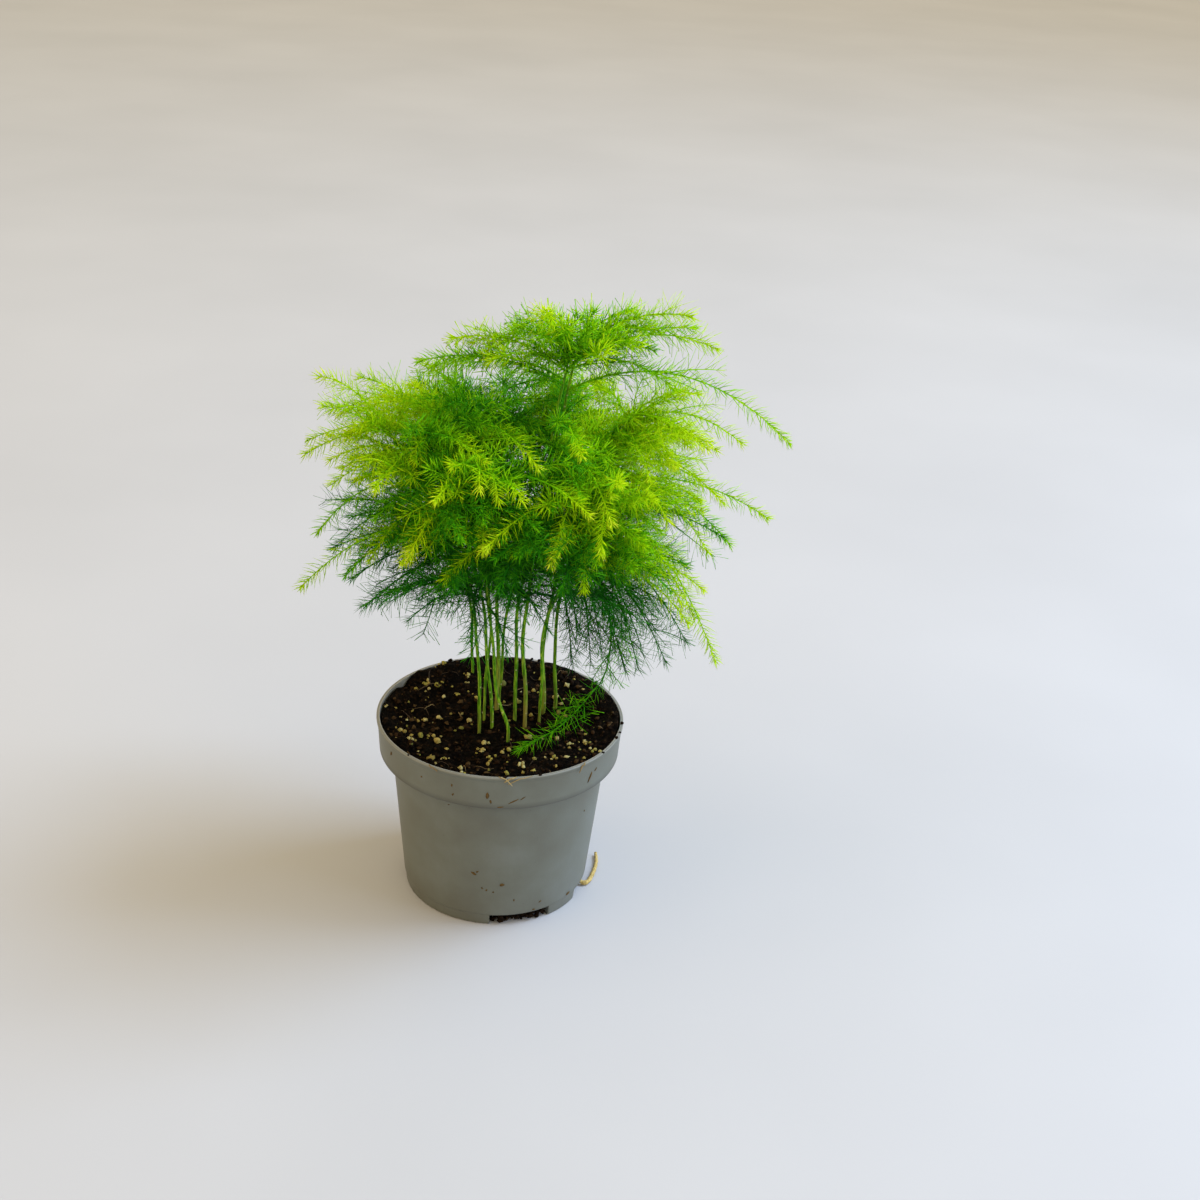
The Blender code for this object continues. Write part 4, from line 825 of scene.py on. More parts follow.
HEAD_RADII = np.array((0.092, 0.090, 0.074))
GOLDEN_RATIO = 0.618
LEADER_LENGTH = 0.030
TRAILING_STEM = 10
TRAILING_HEIGHT = 0.166
TRAILING_POINTS = ((0.044, 0.012, 0.160), (0.052, 0.012, 0.134), (0.051, 0.016, 0.108),
                   (0.044, 0.014, 0.0965), (0.029, -0.014, 0.0945), (0.009, -0.036, 0.0935))
AXIS_STEP = 0.0026
AXIS_GAP = 0.0032
STEM_AXIS_GAP = 0.0042
EASE_ROUNDS = 60
ROOTED_POINTS = 5
HELD_POINTS = 4
ARCH_POINTS = 24

# Fine growth, which the solids leave out: more sprays inside the head, side twigs, and all the needles.
# The first list is placed as above; the other numbers are sprays on each stem.
DETAIL_SPRAYS = (
    (6, 0.228, (-0.012, -0.073, 0.239), 0.010, 1.00),
    (6, 0.224, (-0.004, -0.072, 0.234), 0.012, 1.00),
    (8, 0.268, (-0.041, -0.015, 0.274), 0.007, 0.55),
    (8, 0.276, (-0.027, -0.012, 0.284), 0.006, 0.85),
    (7, 0.268, (0.070, -0.020, 0.268), 0.008, 0.60),
    (9, 0.240, (0.078, -0.018, 0.242), 0.010, 0.95),
    (9, 0.214, (0.090, -0.030, 0.196), 0.014, 0.85),
    (11, 0.196, (0.080, -0.036, 0.172), 0.012, 0.95),
    (11, 0.182, (0.084, -0.030, 0.160), 0.012, 0.90),
    (1, 0.236, (-0.078, -0.020, 0.252), 0.008, 0.90),
    (0, 0.232, (-0.080, 0.030, 0.232), 0.008, 0.90),
    (2, 0.222, (-0.076, -0.036, 0.224), 0.010, 0.85),
    (1, 0.214, (-0.084, -0.024, 0.196), 0.012, 0.55),
    (2, 0.196, (-0.070, -0.044, 0.184), 0.010, 0.30),
    # flat top tier
    (7, 0.280, (0.062, -0.010, 0.291), 0.004, 0.60),
    (8, 0.278, (0.054, -0.030, 0.291), 0.004, 0.70),
    (8, 0.278, (0.033, -0.028, 0.297), 0.002, 0.60),
    (8, 0.278, (0.022, -0.036, 0.301), 0.001, 0.80),
    (8, 0.278, (0.015, -0.030, 0.300), 0.001, 0.70),
    (8, 0.277, (0.044, -0.024, 0.295), 0.003, 0.60),
    (7, 0.281, (0.052, 0.012, 0.293), 0.003, 0.50),
    (8, 0.277, (0.000, -0.012, 0.290), 0.005, 0.60),
    (7, 0.280, (0.004, 0.010, 0.285), 0.005, 0.40),
    (8, 0.274, (-0.010, -0.030, 0.280), 0.006, 0.80),
    (7, 0.276, (0.080, 0.006, 0.288), 0.004, 0.60),
    (7, 0.272, (0.062, -0.004, 0.280), 0.004, 0.35),
    (8, 0.277, (0.019, -0.026, 0.300), 0.001, 0.55),
    (8, 0.279, (0.026, -0.024, 0.301), 0.001, 0.45),
    (7, 0.281, (0.034, -0.012, 0.299), 0.001, 0.45),
    # long sprigs that run over the front, the upper ones to the right and the lower ones to the left
    (2, 0.244, (0.012, -0.058, 0.244), 0.010, 1.00),
    (1, 0.238, (-0.010, -0.060, 0.246), 0.008, 0.95),
    (6, 0.212, (-0.042, -0.052, 0.196), 0.012, 1.00),
    (6, 0.226, (-0.041, -0.067, 0.205), 0.010, 1.00),
    (11, 0.214, (-0.009, -0.073, 0.212), 0.012, 1.00),
    (9, 0.214, (0.019, -0.069, 0.205), 0.014, 1.00),
    (11, 0.202, (-0.026, -0.060, 0.192), 0.014, 0.75),
    (9, 0.202, (0.034, -0.058, 0.188), 0.012, 0.75),
    (8, 0.236, (0.044, -0.064, 0.222), 0.012, 1.00),
    (9, 0.232, (0.040, -0.064, 0.208), 0.016, 0.90),
    (2, 0.208, (-0.060, -0.040, 0.190), 0.012, 0.80),
    (1, 0.226, (-0.066, -0.034, 0.226), 0.008, 0.95),
    (1, 0.240, (-0.066, -0.026, 0.246), 0.006, 0.95),
    # yellow growth at the right
    (9, 0.238, (0.060, -0.046, 0.236), 0.008, 0.90),
    (9, 0.240, (0.072, -0.034, 0.238), 0.008, 0.95),
    (9, 0.244, (0.080, -0.020, 0.243), 0.007, 0.95),
    (9, 0.220, (0.070, -0.040, 0.214), 0.010, 1.00),
    (9, 0.196, (0.064, -0.044, 0.192), 0.012, 0.80),
    (9, 0.190, (0.088, -0.020, 0.158), 0.018, 0.80),
    # old growth that hangs down at the right and pokes out low at the left
    (10, 0.172, (0.066, 0.004, 0.131), 0.010, -0.15),
    (10, 0.166, (0.048, 0.006, 0.124), 0.010, -0.15),
    (9, 0.166, (0.036, 0.006, 0.134), 0.007, -0.15),
    (10, 0.176, (0.088, 0.004, 0.133), 0.012, -0.10),
    (10, 0.164, (0.060, 0.012, 0.112), 0.012, -0.15),
    (11, 0.170, (0.070, -0.012, 0.154), 0.010, -0.05),
    (10, 0.172, (0.074, 0.020, 0.142), 0.010, -0.15),
    (9, 0.172, (0.056, -0.014, 0.146), 0.010, -0.10),
    (9, 0.162, (0.034, 0.010, 0.115), 0.010, -0.15),
    (10, 0.166, (0.043, 0.009, 0.117), 0.012, -0.15),
    (10, 0.170, (0.066, 0.004, 0.117), 0.016, -0.15),
    (2, 0.176, (-0.058, -0.014, 0.160), 0.008, -0.10),
    (2, 0.186, (-0.070, -0.022, 0.178), 0.010, 0.10),
)
CROWN_SPRAYS = (4, 5, 6, 6, 5, 3, 5, 0, 0, 3, 3, 3)
INNER_SPRAYS = 9
INNER_REACH = 0.80
INNER_CEILING = 0.246
# Short sprays: how far below the stem's top they start, or above the lowest level, and the rules
CROWN_DROP = 0.003
CROWN_RULE = (-0.024, 0.23, 0.0, (0.030, 0.050), (0.02, 0.24), 0.14)
LOW_SPRAYS = 6
LOW_LIMIT = 0.149
LOW_SLOPE = 0.49
LOW_FRONT = 0.005
LOW_LIFT = 0.004
LOW_RULE = (0.034, 0.41, 0.13, (0.020, 0.040), (-0.3, 0.1), 0.12)
SPRAY_KNOTS = 20
TWIG_KNOTS = 7
TWIG_SPACING = 0.0076
TWIG_START = 0.05
TWIG_SHARE = 0.60
TWIG_SHORTEST = 0.008
# Side twigs of each kind of spray: the share of the spray where they end, and their greatest length, which
# on the trailing spray also falls by a share
OUTER_TWIGS = (0.44, 0.017)
CROWN_TWIGS = (0.84, 0.012)
OLD_TWIGS = (0.80, 0.015)
INNER_TWIGS = (0.62, 0.030)
TRAILING_TWIGS = (0.90, 0.015, 0.50)
TRAILING_LOOSENESS = 0.55
TWIG_LEAN = math.radians(38)
TWIG_LEAN_SPREAD = 0.22
TWIG_ROLL_SPREAD = 0.55
TWIG_REACHES = (0.6, 1.15)
TWIG_FORWARD = 0.30
TWIG_SAG = 0.14
SHRINK_RAMP = (0.40, 0.25)
NEEDLE_PITCH = 0.0022
TWIG_NEEDLE_PITCH = 0.0024
NEEDLES_ROUND = 5
NEEDLE_LENGTH = 0.0086
NEEDLE_RADIUS = 0.00027
SLIVER_WIDTH = 0.00041
NEEDLE_LEAN = math.radians(68)
NEEDLE_LEAN_SPREAD = 0.20
NEEDLE_TURN_SPREAD = 0.40
NEEDLE_BENDS = (-0.06, 0.32)
NEEDLE_WIDTHS = (0.85, 1.15)
WHORL_CROWDING = 1.35
TIP_RAMP = (0.78, 0.22)
LEAST_FIT = 0.3
TIP_LEAN = math.radians(40)
BOX_MARGIN = 0.0003
TIP_MARGIN = 0.012
TWIG_MARGIN = 0.002
TWIG_LOWEST = 0.0905
CROWN_HEIGHT = 0.262
SPRAY_SIDES = 5
SPRAY_RADIUS = 0.00050
SPRAY_TAPER = 0.00027
TWIG_SIDES = 4
TWIG_RADIUS = 0.00032
TWIG_TAPER = 0.00014
# Needles thin out at both sides of the head, with their distance from its middle
SIDE_MIDDLE = 0.006
SIDE_RAMP = (0.038, 0.026)
SIDE_SPARSENESS = 0.95
# What full sparseness adds to the pitch and length of needles, and takes from their thickness and number
SPARSE_PITCH = 0.34
SPARSE_LENGTH = 0.32
SPARSE_THINNESS = 0.42
SPARSE_LOSS = 0.20
# Youth at the tips of the trailing spray, of the leaders and of the low sprays
TRAILING_YOUTH = 0.30
LEADER_YOUTH = 0.85
LOW_YOUTH = -0.12


def smooth_path(knots, steps):
    """Draws a Catmull-Rom curve: between b and c, 0.5 (2b + (c-a)t + (2a-5b+4c-d)t^2 + (3b-a-3c+d)t^3)."""
    knots = np.asarray(knots, float)
    padded = np.vstack([2 * knots[0] - knots[1], knots, 2 * knots[-1] - knots[-2]])
    a, b, c, d = (padded[k:len(padded) - 3 + k, None] for k in range(4))
    t = np.linspace(0, 1, steps, endpoint=False)[:, None]
    curve = 0.5 * (2 * b + (c - a) * t + (2 * a - 5 * b + 4 * c - d) * t ** 2
                   + (3 * b - a - 3 * c + d) * t ** 3)
    return np.vstack([curve.reshape(-1, 3), knots[-1:]])


def spaced(path, count):
    """Gives count points at even distances along a path."""
    travelled = np.concatenate([[0], np.cumsum(np.linalg.norm(np.diff(path, axis=0), axis=1))])
    places = np.linspace(0, travelled[-1], count)
    return np.stack([np.interp(places, travelled, path[:, k]) for k in range(3)], 1)


def resample(path, step):
    """Spaces the points of a path evenly, about a step apart."""
    length = np.linalg.norm(np.diff(path, axis=0), axis=1).sum()
    return spaced(path, max(4, round(length / step)) + 1)


def stem_path(stem, steps):
    """Runs a stem straight up out of the peat, then in a bow over its middle to its top."""
    (x, y), middle, top, _ = stem
    middle, top = np.array(middle), np.array(top)
    shoulder = 0.42 * middle + 0.58 * top + np.array([0, 0, 0.004])
    free = smooth_path([(x, y, STEM_FREE_Z), middle, shoulder, top], steps)
    return np.vstack([[(x, y, STEM_FOOT_Z)], free])


def point_at_height(path, height):
    """Finds the place on a stem at a height."""
    return np.array([np.interp(height, path[:, 2], path[:, k]) for k in range(3)])


def arch(root, tip, rise):
    """Gives a spray's axis: straight from root to tip, lifted by the parabola 4 rise t (1 - t)."""
    t = np.linspace(0, 1, ARCH_POINTS)[:, None]
    axis = root + (np.array(tip) - root) * t
    axis[:, 2:] += rise * 4 * t * (1 - t)
    return resample(axis, AXIS_STEP)


def head_sprays(paths, seed, per_stem, fewest, spin, reach_share=1.0, ceiling=1.0):
    """Sends shorter sprays from each stem towards the skin of the rounded head.

    Heights are shared out up the stem as far as the ceiling, and headings step round it by the golden
    ratio. The length is the way to the ellipsoid round the head, kept within the filler lengths.
    """
    draw = random.Random(seed)
    sprays = []
    for number, path in enumerate(paths):
        top = min(path[-1, 2] - 0.006, ceiling)
        drawn = sum(1 for spray in OUTLINE_SPRAYS if spray[0] == number)
        count = max(fewest, per_stem - drawn)
        for k in range(count):
            share = ((k + 0.7 * draw.random()) / count) ** FILLER_CROWDING
            height = FILLER_LOWEST + (top - FILLER_LOWEST) * share
            root = point_at_height(path, height)
            outward = math.atan2(root[1] - HEAD_CENTRE[1], root[0] - HEAD_CENTRE[0])
            azimuth = outward + math.radians(250) * (((k + 0.37 * number) * GOLDEN_RATIO + spin) % 1 - 0.5)
            course = np.array([math.cos(azimuth), math.sin(azimuth), 0.12])
            ahead, offset = course / HEAD_RADII, (root - HEAD_CENTRE) / HEAD_RADII
            a, b, c = ahead @ ahead, offset @ ahead, offset @ offset - 1
            reach = (-b + math.sqrt(max(b * b - a * c, 0))) / a
            length = reach_share * min(max(reach, FILLER_LENGTHS[0]), FILLER_LENGTHS[1])
            tip = root + course * length
            tip[2] -= 0.12 * length + draw.uniform(0, 0.006)
            sprays.append((number, height, tuple(tip), 0.10 * length))
    return sprays


def kept_inside(spray):
    """Draws a spray's tip back towards the head's centre until it is well inside the solids' box."""
    tip = np.array(spray[2])
    low, high = np.array(solid_low) + TIP_MARGIN, np.array(solid_high) - TIP_MARGIN
    room = np.where(tip > HEAD_CENTRE, high, low) - HEAD_CENTRE
    share = min(1, (room / (tip - HEAD_CENTRE)).min())
    return (*spray[:2], tuple(HEAD_CENTRE + (tip - HEAD_CENTRE) * share), spray[3])


def leaders(paths):
    """Lets each stem run on past its top as a short spray that leans over."""
    sprays = []
    for number, path in enumerate(paths):
        course = unit(path[-1] - path[-2])
        level = unit(course * (1, 1, 0) + (1e-6, 0, 0))
        tip = path[-1] + LEADER_LENGTH * (0.35 * course + 0.75 * level)
        sprays.append((number, path[-1, 2] - 0.006, tuple(tip), 0.10 * LEADER_LENGTH))
    return sprays


def near_pairs(points, reach):
    """Lists the pairs of points closer than reach, as two index arrays and their distances.

    The points are sorted into cubes with that edge, and each point is compared with those in the cubes
    round its own, one offset at a time. 400 cubes are added to each number, so that none is below zero.
    """
    cells = np.floor(points / reach).astype(np.int64) + 400
    keys = (cells[:, 0] << 20) + (cells[:, 1] << 10) + cells[:, 2]
    order = np.argsort(keys, kind="stable")
    firsts, seconds = [], []
    for step in np.ndindex(3, 3, 3):
        wanted = keys + ((step[0] - 1) << 20) + ((step[1] - 1) << 10) + step[2] - 1
        low = np.searchsorted(keys[order], wanted, "left")
        counts = np.searchsorted(keys[order], wanted, "right") - low
        firsts.append(np.repeat(np.arange(len(points)), counts))
        along = np.arange(counts.sum()) - np.repeat(np.cumsum(counts) - counts, counts)
        seconds.append(order[np.repeat(low, counts) + along])
    first, second = np.concatenate(firsts), np.concatenate(seconds)
    gaps = np.linalg.norm(points[first] - points[second], axis=1)
    close = (gaps <= reach) & (first != second)
    return first[close], second[close], gaps[close]


def ease_apart(axes, owners, paths):
    """Pushes the sprays' axes apart as in the solids: a point moves away from each foreign axis nearer
    than the gap by half of what is missing, the moves are smoothed along the axis, and roots stay."""
    marks = [resample(path, AXIS_STEP) for path in paths]
    still = np.vstack(marks)
    still_parts = np.repeat(-1 - np.arange(len(marks)), [len(mark) for mark in marks])
    lengths = [len(axis) for axis in axes]
    moving = np.vstack(axes)
    parts = np.repeat(np.arange(len(axes)), lengths)
    order = np.concatenate([np.arange(length) for length in lengths])
    inner = (order > 0) & (order < np.array(lengths)[parts] - 1)
    all_parts = np.concatenate([parts, still_parts])
    all_order = np.concatenate([order, np.full(len(still), 99)])
    fronds = np.concatenate([np.array(owners)[parts], -1 - still_parts])
    hold = np.clip(order / HELD_POINTS, 0, 1)[:, None]
    for _ in range(EASE_ROUNDS):
        everything = np.vstack([moving, still])
        first, second, gaps = near_pairs(everything, STEM_AXIS_GAP)
        limit = np.where(all_parts[second] >= 0, AXIS_GAP, STEM_AXIS_GAP)
        kin = fronds[first] == fronds[second]
        spray_pair = all_parts[second] >= 0
        near_root = (all_order[first] < ROOTED_POINTS) | (all_order[second] < ROOTED_POINTS)
        rooted = kin & spray_pair & near_root
        wanted = (all_parts[first] >= 0) & (all_order[first] > 0) & (gaps <= limit) & ~rooted
        wanted &= (all_parts[first] != all_parts[second]) & ~(kin & ~spray_pair)
        if not wanted.any():
            break
        first, second, gaps, limit = first[wanted], second[wanted], gaps[wanted], limit[wanted]
        away = (everything[first] - everything[second]) / (gaps + 1e-9)[:, None]
        push = away * ((limit - gaps) * 0.5)[:, None]
        shift = np.stack([np.bincount(first, push[:, k], len(moving)) for k in range(3)], 1)
        for _ in range(2):
            blended = 0.25 * np.roll(shift, 1, 0) + 0.5 * shift + 0.25 * np.roll(shift, -1, 0)
            shift = np.where(inner[:, None], blended, shift)
        moving = moving + shift * hold
    return np.split(moving, np.cumsum(lengths)[:-1])


def trailing_axis(paths):
    """Gives the long spray that hangs down and ends lying on the peat."""
    root = point_at_height(paths[TRAILING_STEM], TRAILING_HEIGHT)
    return resample(smooth_path([root, *TRAILING_POINTS], 8), AXIS_STEP)


def low_level(y):
    """Gives the lowest height of a low spray: a limit, and in front of LOW_FRONT a share of the way more."""
    return LOW_LIMIT + LOW_SLOPE * max(0.0, LOW_FRONT - y)


def short_sprays(path, number, draw, count, base, rule):
    """Sets short sprays all round a stem by the golden ratio, at heights from base over a span.

    The rule holds the span, the turn for each stem and the first turn in shares of a circle, the limits of
    the length and of the tip's slope, and the rise as a share of the length.
    """
    span, turn, first_turn, lengths, slopes, rise = rule
    sprays = []
    for k in range(count):
        height = base + span * (k + draw.random()) / count
        azimuth = math.tau * ((k * GOLDEN_RATIO + turn * number + first_turn) % 1)
        length = draw.uniform(*lengths)
        course = np.array([math.cos(azimuth), math.sin(azimuth), draw.uniform(*slopes)])
        tip = point_at_height(path, height) + length * course
        sprays.append((number, height, tuple(tip), rise * length))
    return sprays


def tip_youth(tip):
    """Gives how young an inner spray's tip is: the higher it is and the further out, the younger."""
    x, y, z = tip
    high = rising(z, 0.200, 0.030)
    right, left = rising(x, 0.020, 0.020), rising(-x, 0.026, 0.020) * high
    front, back = rising(-y, 0.030, 0.030) * high, rising(y, 0.040, 0.040) * high
    outermost = max(0.20, right, left, 0.4 * front, 0.4 * back)
    return float(np.clip((z - 0.182) / 0.036, -0.15, 1) * outermost)


def tube_youths(youths, sides):
    """Gives each point of tubes the youth of its ring, and the pole at each end that of the last ring."""
    return np.concatenate([np.repeat(youths, sides, 1), youths[:, :1], youths[:, -1:]], 1).ravel()


def youth_along(youth, steep, share):
    """Gives the youth along a spray, rising as share^2.4 from (0.6 - 0.4 steep) of its tip's, less 0.06."""
    root = np.minimum(youth, (0.6 - 0.4 * steep) * youth - 0.06)
    return root + (youth - root) * share ** 2.4


def steepness(tip):
    """Gives 1 for a spray with its tip high in front of the head's middle, 0 round about, -0.3 far out."""
    front = rising(-tip[1], 0.030, 0.025) * rising(-abs(tip[0] + 0.004), -0.066, 0.022)
    front *= rising(tip[2], 0.206, 0.020)
    return float(front - 0.3 * rising(abs(tip[0] - SIDE_MIDDLE), 0.048, 0.018))


def grow_twigs(axis, youth, steep, rng, end, longest, shrink=0.0):
    """Grows side twigs from a spray, to both sides in turn, as (n, knots, 3) with root and tip youths.

    A twig runs along h t + 0.30 f t^2 - 0.14 z t^2 times its length, with h its heading, f the spray's own
    course and z up. Its length is a share of the spray's that falls towards the spray's tip. It is no more
    than the longest allowed, which falls by the share shrink over the middle of the spray.
    """
    length = np.linalg.norm(np.diff(axis, axis=0), axis=1).sum()
    count = int(length * (end - TWIG_START) / TWIG_SPACING)
    if count < 1:
        return np.empty((0, TWIG_KNOTS, 3)), np.empty(0), np.empty(0)
    share = TWIG_START + (end - TWIG_START) * (np.arange(count) + rng.random(count)) / count
    place = share * (len(axis) - 1)
    knot = np.minimum(place.astype(int), len(axis) - 2)
    roots = axis[knot] + (axis[knot + 1] - axis[knot]) * (place - knot)[:, None]
    course = unit(axis[knot + 1] - axis[knot])
    across = unit(np.cross(course, (0.0, 0.0, 1.0)) + 1e-5)
    side = np.where(np.arange(count) % 2, 1.0, -1.0) * rng.choice((-1, 1))
    roll, lean = rng.normal(0.0, TWIG_ROLL_SPREAD, count), TWIG_LEAN + rng.normal(0, TWIG_LEAN_SPREAD, count)
    outward = (np.cos(roll) * side)[:, None] * across + np.sin(roll)[:, None] * np.cross(across, course)
    heading = unit(np.cos(lean)[:, None] * course + np.sin(lean)[:, None] * outward)
    shrunk = shrink * rising(share, *SHRINK_RAMP)
    most = np.maximum(TWIG_SHORTEST, longest * (1 - shrunk))
    reach = np.clip(TWIG_SHARE * length * (1.1 - share), TWIG_SHORTEST, most)
    reach = reach * rng.uniform(*TWIG_REACHES, count)
    t = np.linspace(0, 1, TWIG_KNOTS)[None, :, None]
    bow = heading[:, None] * t + TWIG_FORWARD * course[:, None] * t ** 2
    bow = bow - np.array([0, 0, TWIG_SAG]) * t ** 2
    twigs = roots[:, None] + reach[:, None, None] * bow
    base = youth_along(youth, steep, share)
    tips = youth_along(youth, steep, np.clip(share + 0.34, 0, 1)) + rng.normal(0, 0.06, count)
    return twigs, base, tips


def grow_needles(paths, root_youth, tip_youth, rng, spare, bent):
    """Sets whorls of needles along paths (n, m, 3) and gives points, faces and youths.

    Whorls stand at 1 - (1 - u)^1.35 of the way, so they crowd towards the tip. A needle leaves at an angle
    that closes towards the tip and bends forward with the square of its length. spare is how sparse, long
    and thin the needles of each path are, from 0 to 1. Bent needles are three-sided spikes with a second
    ring half way. The others are straight slivers: two edges at right angles, one at the foot and one at
    the tip, joined by four triangles.
    """
    count, knots = paths.shape[:2]
    lengths = np.linalg.norm(np.diff(paths, axis=1), axis=2).sum(1)
    pitch = (NEEDLE_PITCH if bent else TWIG_NEEDLE_PITCH) * (1 + SPARSE_PITCH * spare)
    whorls = np.maximum(2, np.round(lengths / pitch)).astype(int)
    path = np.repeat(np.arange(count), whorls)
    within = np.arange(whorls.sum()) - np.repeat(np.cumsum(whorls) - whorls, whorls)
    u = (within + 0.35 + 0.3 * rng.random(len(within))) / whorls[path]
    share = np.clip(1 - (1 - u) ** WHORL_CROWDING, 0, 1)
    path, share, within = (np.repeat(v, NEEDLES_ROUND) for v in (path, share, within))
    number = np.tile(np.arange(NEEDLES_ROUND), len(path) // NEEDLES_ROUND)
    kept = rng.random(len(path)) > SPARSE_LOSS * spare[path]
    path, share, within, number = (v[kept] for v in (path, share, within, number))
    share = np.clip(share + rng.normal(0, 0.00035, len(path)) / lengths[path], 0, 1)
    place = share * (knots - 1)
    knot = np.minimum(place.astype(int), knots - 2)
    part = (place - knot)[:, None]
    low, high = paths[path, knot], paths[path, knot + 1]
    foot = low + (high - low) * part
    courses = unit(np.gradient(paths, axis=1))
    course = unit(courses[path, knot] * (1 - part) + courses[path, knot + 1] * part)
    across = unit(np.cross(course, (0.0, 0.0, 1.0)) + 1e-5)
    upward = np.cross(across, course)
    angle = number * math.tau / NEEDLES_ROUND + within * 2.4 + rng.normal(0, NEEDLE_TURN_SPREAD, len(path))
    out = np.cos(angle)[:, None] * across + np.sin(angle)[:, None] * upward
    tipward = rising(share, *TIP_RAMP)
    lean = NEEDLE_LEAN + (TIP_LEAN - NEEDLE_LEAN) * tipward ** 1.5
    lean = lean + rng.normal(0, NEEDLE_LEAN_SPREAD, len(path))
    length = NEEDLE_LENGTH * (0.70 + 0.42 * rng.random(len(path))) * (1 - 0.46 * tipward)
    length *= (1 + SPARSE_LENGTH * spare[path]) * np.clip(0.62 + 6 * share, 0, 1)
    along, outward = np.cos(lean)[:, None] * course, np.sin(lean)[:, None] * out
    bend = rng.uniform(*NEEDLE_BENDS, len(path))[:, None]
    t = np.array([0.0, 0.5, 1.0])[None, :, None]
    spine = foot[:, None] + length[:, None, None] * (
        along[:, None] * t + outward[:, None] * t * (1 - 0.35 * bend[:, None] * t)
        + (bend * np.sin(lean)[:, None] * course)[:, None] * t ** 2)
    tip = spine[:, 2]
    room = np.where(tip > foot, np.array(solid_high) - BOX_MARGIN, np.array(solid_low) + BOX_MARGIN)
    fit = np.clip(((room - foot) / np.where(np.abs(tip - foot) < 1e-9, 1e-9, tip - foot)).min(1), 0, 1)
    spine = foot[:, None] + (spine - foot[:, None]) * fit[:, None, None]
    reach = np.hypot(spine[:, 2, 0], spine[:, 2, 1])
    floor = np.where(reach < RIM_RADIUS + 0.002, POT_HEIGHT + 0.0010, 0.001)
    floor = np.where(reach < RIM_RADIUS - 0.004, peat_height(spine[:, 2, 0], spine[:, 2, 1]), floor)
    kept = (fit > LEAST_FIT) & (spine[:, 2, 2] > floor)
    spine, course, out, share, path = spine[kept], course[kept], out[kept], share[kept], path[kept]
    a = (np.arange(3) * math.tau / 3)[None, None, :, None]
    thick = (NEEDLE_RADIUS if bent else SLIVER_WIDTH / 2) * (1 - 0.15 * tipward[kept])
    thick *= 1 - SPARSE_THINNESS * spare[path]
    thick *= rng.uniform(*NEEDLE_WIDTHS, len(path))
    sideways = unit(np.cross(course, out))
    edge = (np.cos(a) * out[:, None, None] + np.sin(a) * sideways[:, None, None])
    rings = spine[:, :2, None] + (thick[:, None] * np.array([1.0, 0.95]))[..., None, None] * edge
    line = unit(spine[:, 2] - spine[:, 0])
    spin = rng.uniform(0, math.tau, len(path))[:, None]
    flat = unit(np.cos(spin) * sideways + np.sin(spin) * np.cross(line, sideways))
    flat_ends = np.stack([-flat, flat, -np.cross(flat, line), np.cross(flat, line)], 1)
    young = root_youth[path] + (tip_youth - root_youth)[path] * share ** (2.0 if bent else 1.3)
    young = young + rng.normal(0, 0.07, len(path))
    ends = np.array([(0, 2, 1), (0, 1, 3), (1, 2, 3), (2, 0, 3)])
    if bent:
        points = np.concatenate([rings.reshape(len(path), 6, 3), spine[:, 2:]], 1)
        sides = np.array([(0, 1, 4, 3), (1, 2, 5, 4), (2, 0, 3, 5)])
        ends[1:] += 3
        faces = repeated((sides, ends), len(path), 7)
        youths = young[:, None] + np.array([-0.05, -0.05, -0.05, 0.0, 0.0, 0.0, 0.05])
    else:
        points = spine[:, [0, 0, 2, 2]] + thick[:, None, None] * flat_ends
        faces = repeated((ends,), len(path), 4)
        youths = young[:, None] + np.array([-0.03, -0.03, 0.05, 0.05])
    return points.reshape(-1, 3), faces, youths.ravel()


# Living needles: waxy green skin over soft tissue that lets some light through. The point attribute youth
# runs from 0 in old growth low in the head, dark and bluish, to 1 in new tips, yellow.
needle_green, add, places = start_material("waxy needle tissue")
youth = add("Attribute", out="Fac", attribute_name="youth")
mottle = add("TexNoise", {"Vector": places, "Scale": 160.0, "Detail": 2.0})
shifted = add("MapRange", {"Value": mottle, 1: 0.3, 2: 0.7, 3: -0.07, 4: 0.07})
aged = add("Math", {0: youth, 1: shifted}, operation="ADD")
lifted = add("MapRange", {"Value": aged, 1: -0.25, 2: 1.05, 3: 0.0, 4: 1.0})
greens = add("ValToRGB", {0: lifted}, stops=(
    (0.00, "#0e5c16"), (0.18, "#248808"), (0.36, "#5cbc04"), (0.55, "#9ee008"), (0.75, "#d2ee0e"),
    (0.90, "#def614"), (1.00, "#f4fa44")))
lit_through = add("Mix", {0: 0.38, 6: greens, 7: linear("#e6ff3c")}, 2, data_type="RGBA")
thinness = add("MapRange", {"Value": aged, 1: -0.1, 2: 0.6, 3: 0.18, 4: 0.62})
add("OutputMaterial", {"Surface": add("MixShader", {
    0: thinness,
    1: add("BsdfPrincipled", {"Base Color": greens, "Roughness": 0.55, "Specular IOR Level": 0.08}),
    2: add("BsdfTranslucent", {"Color": lit_through})})})
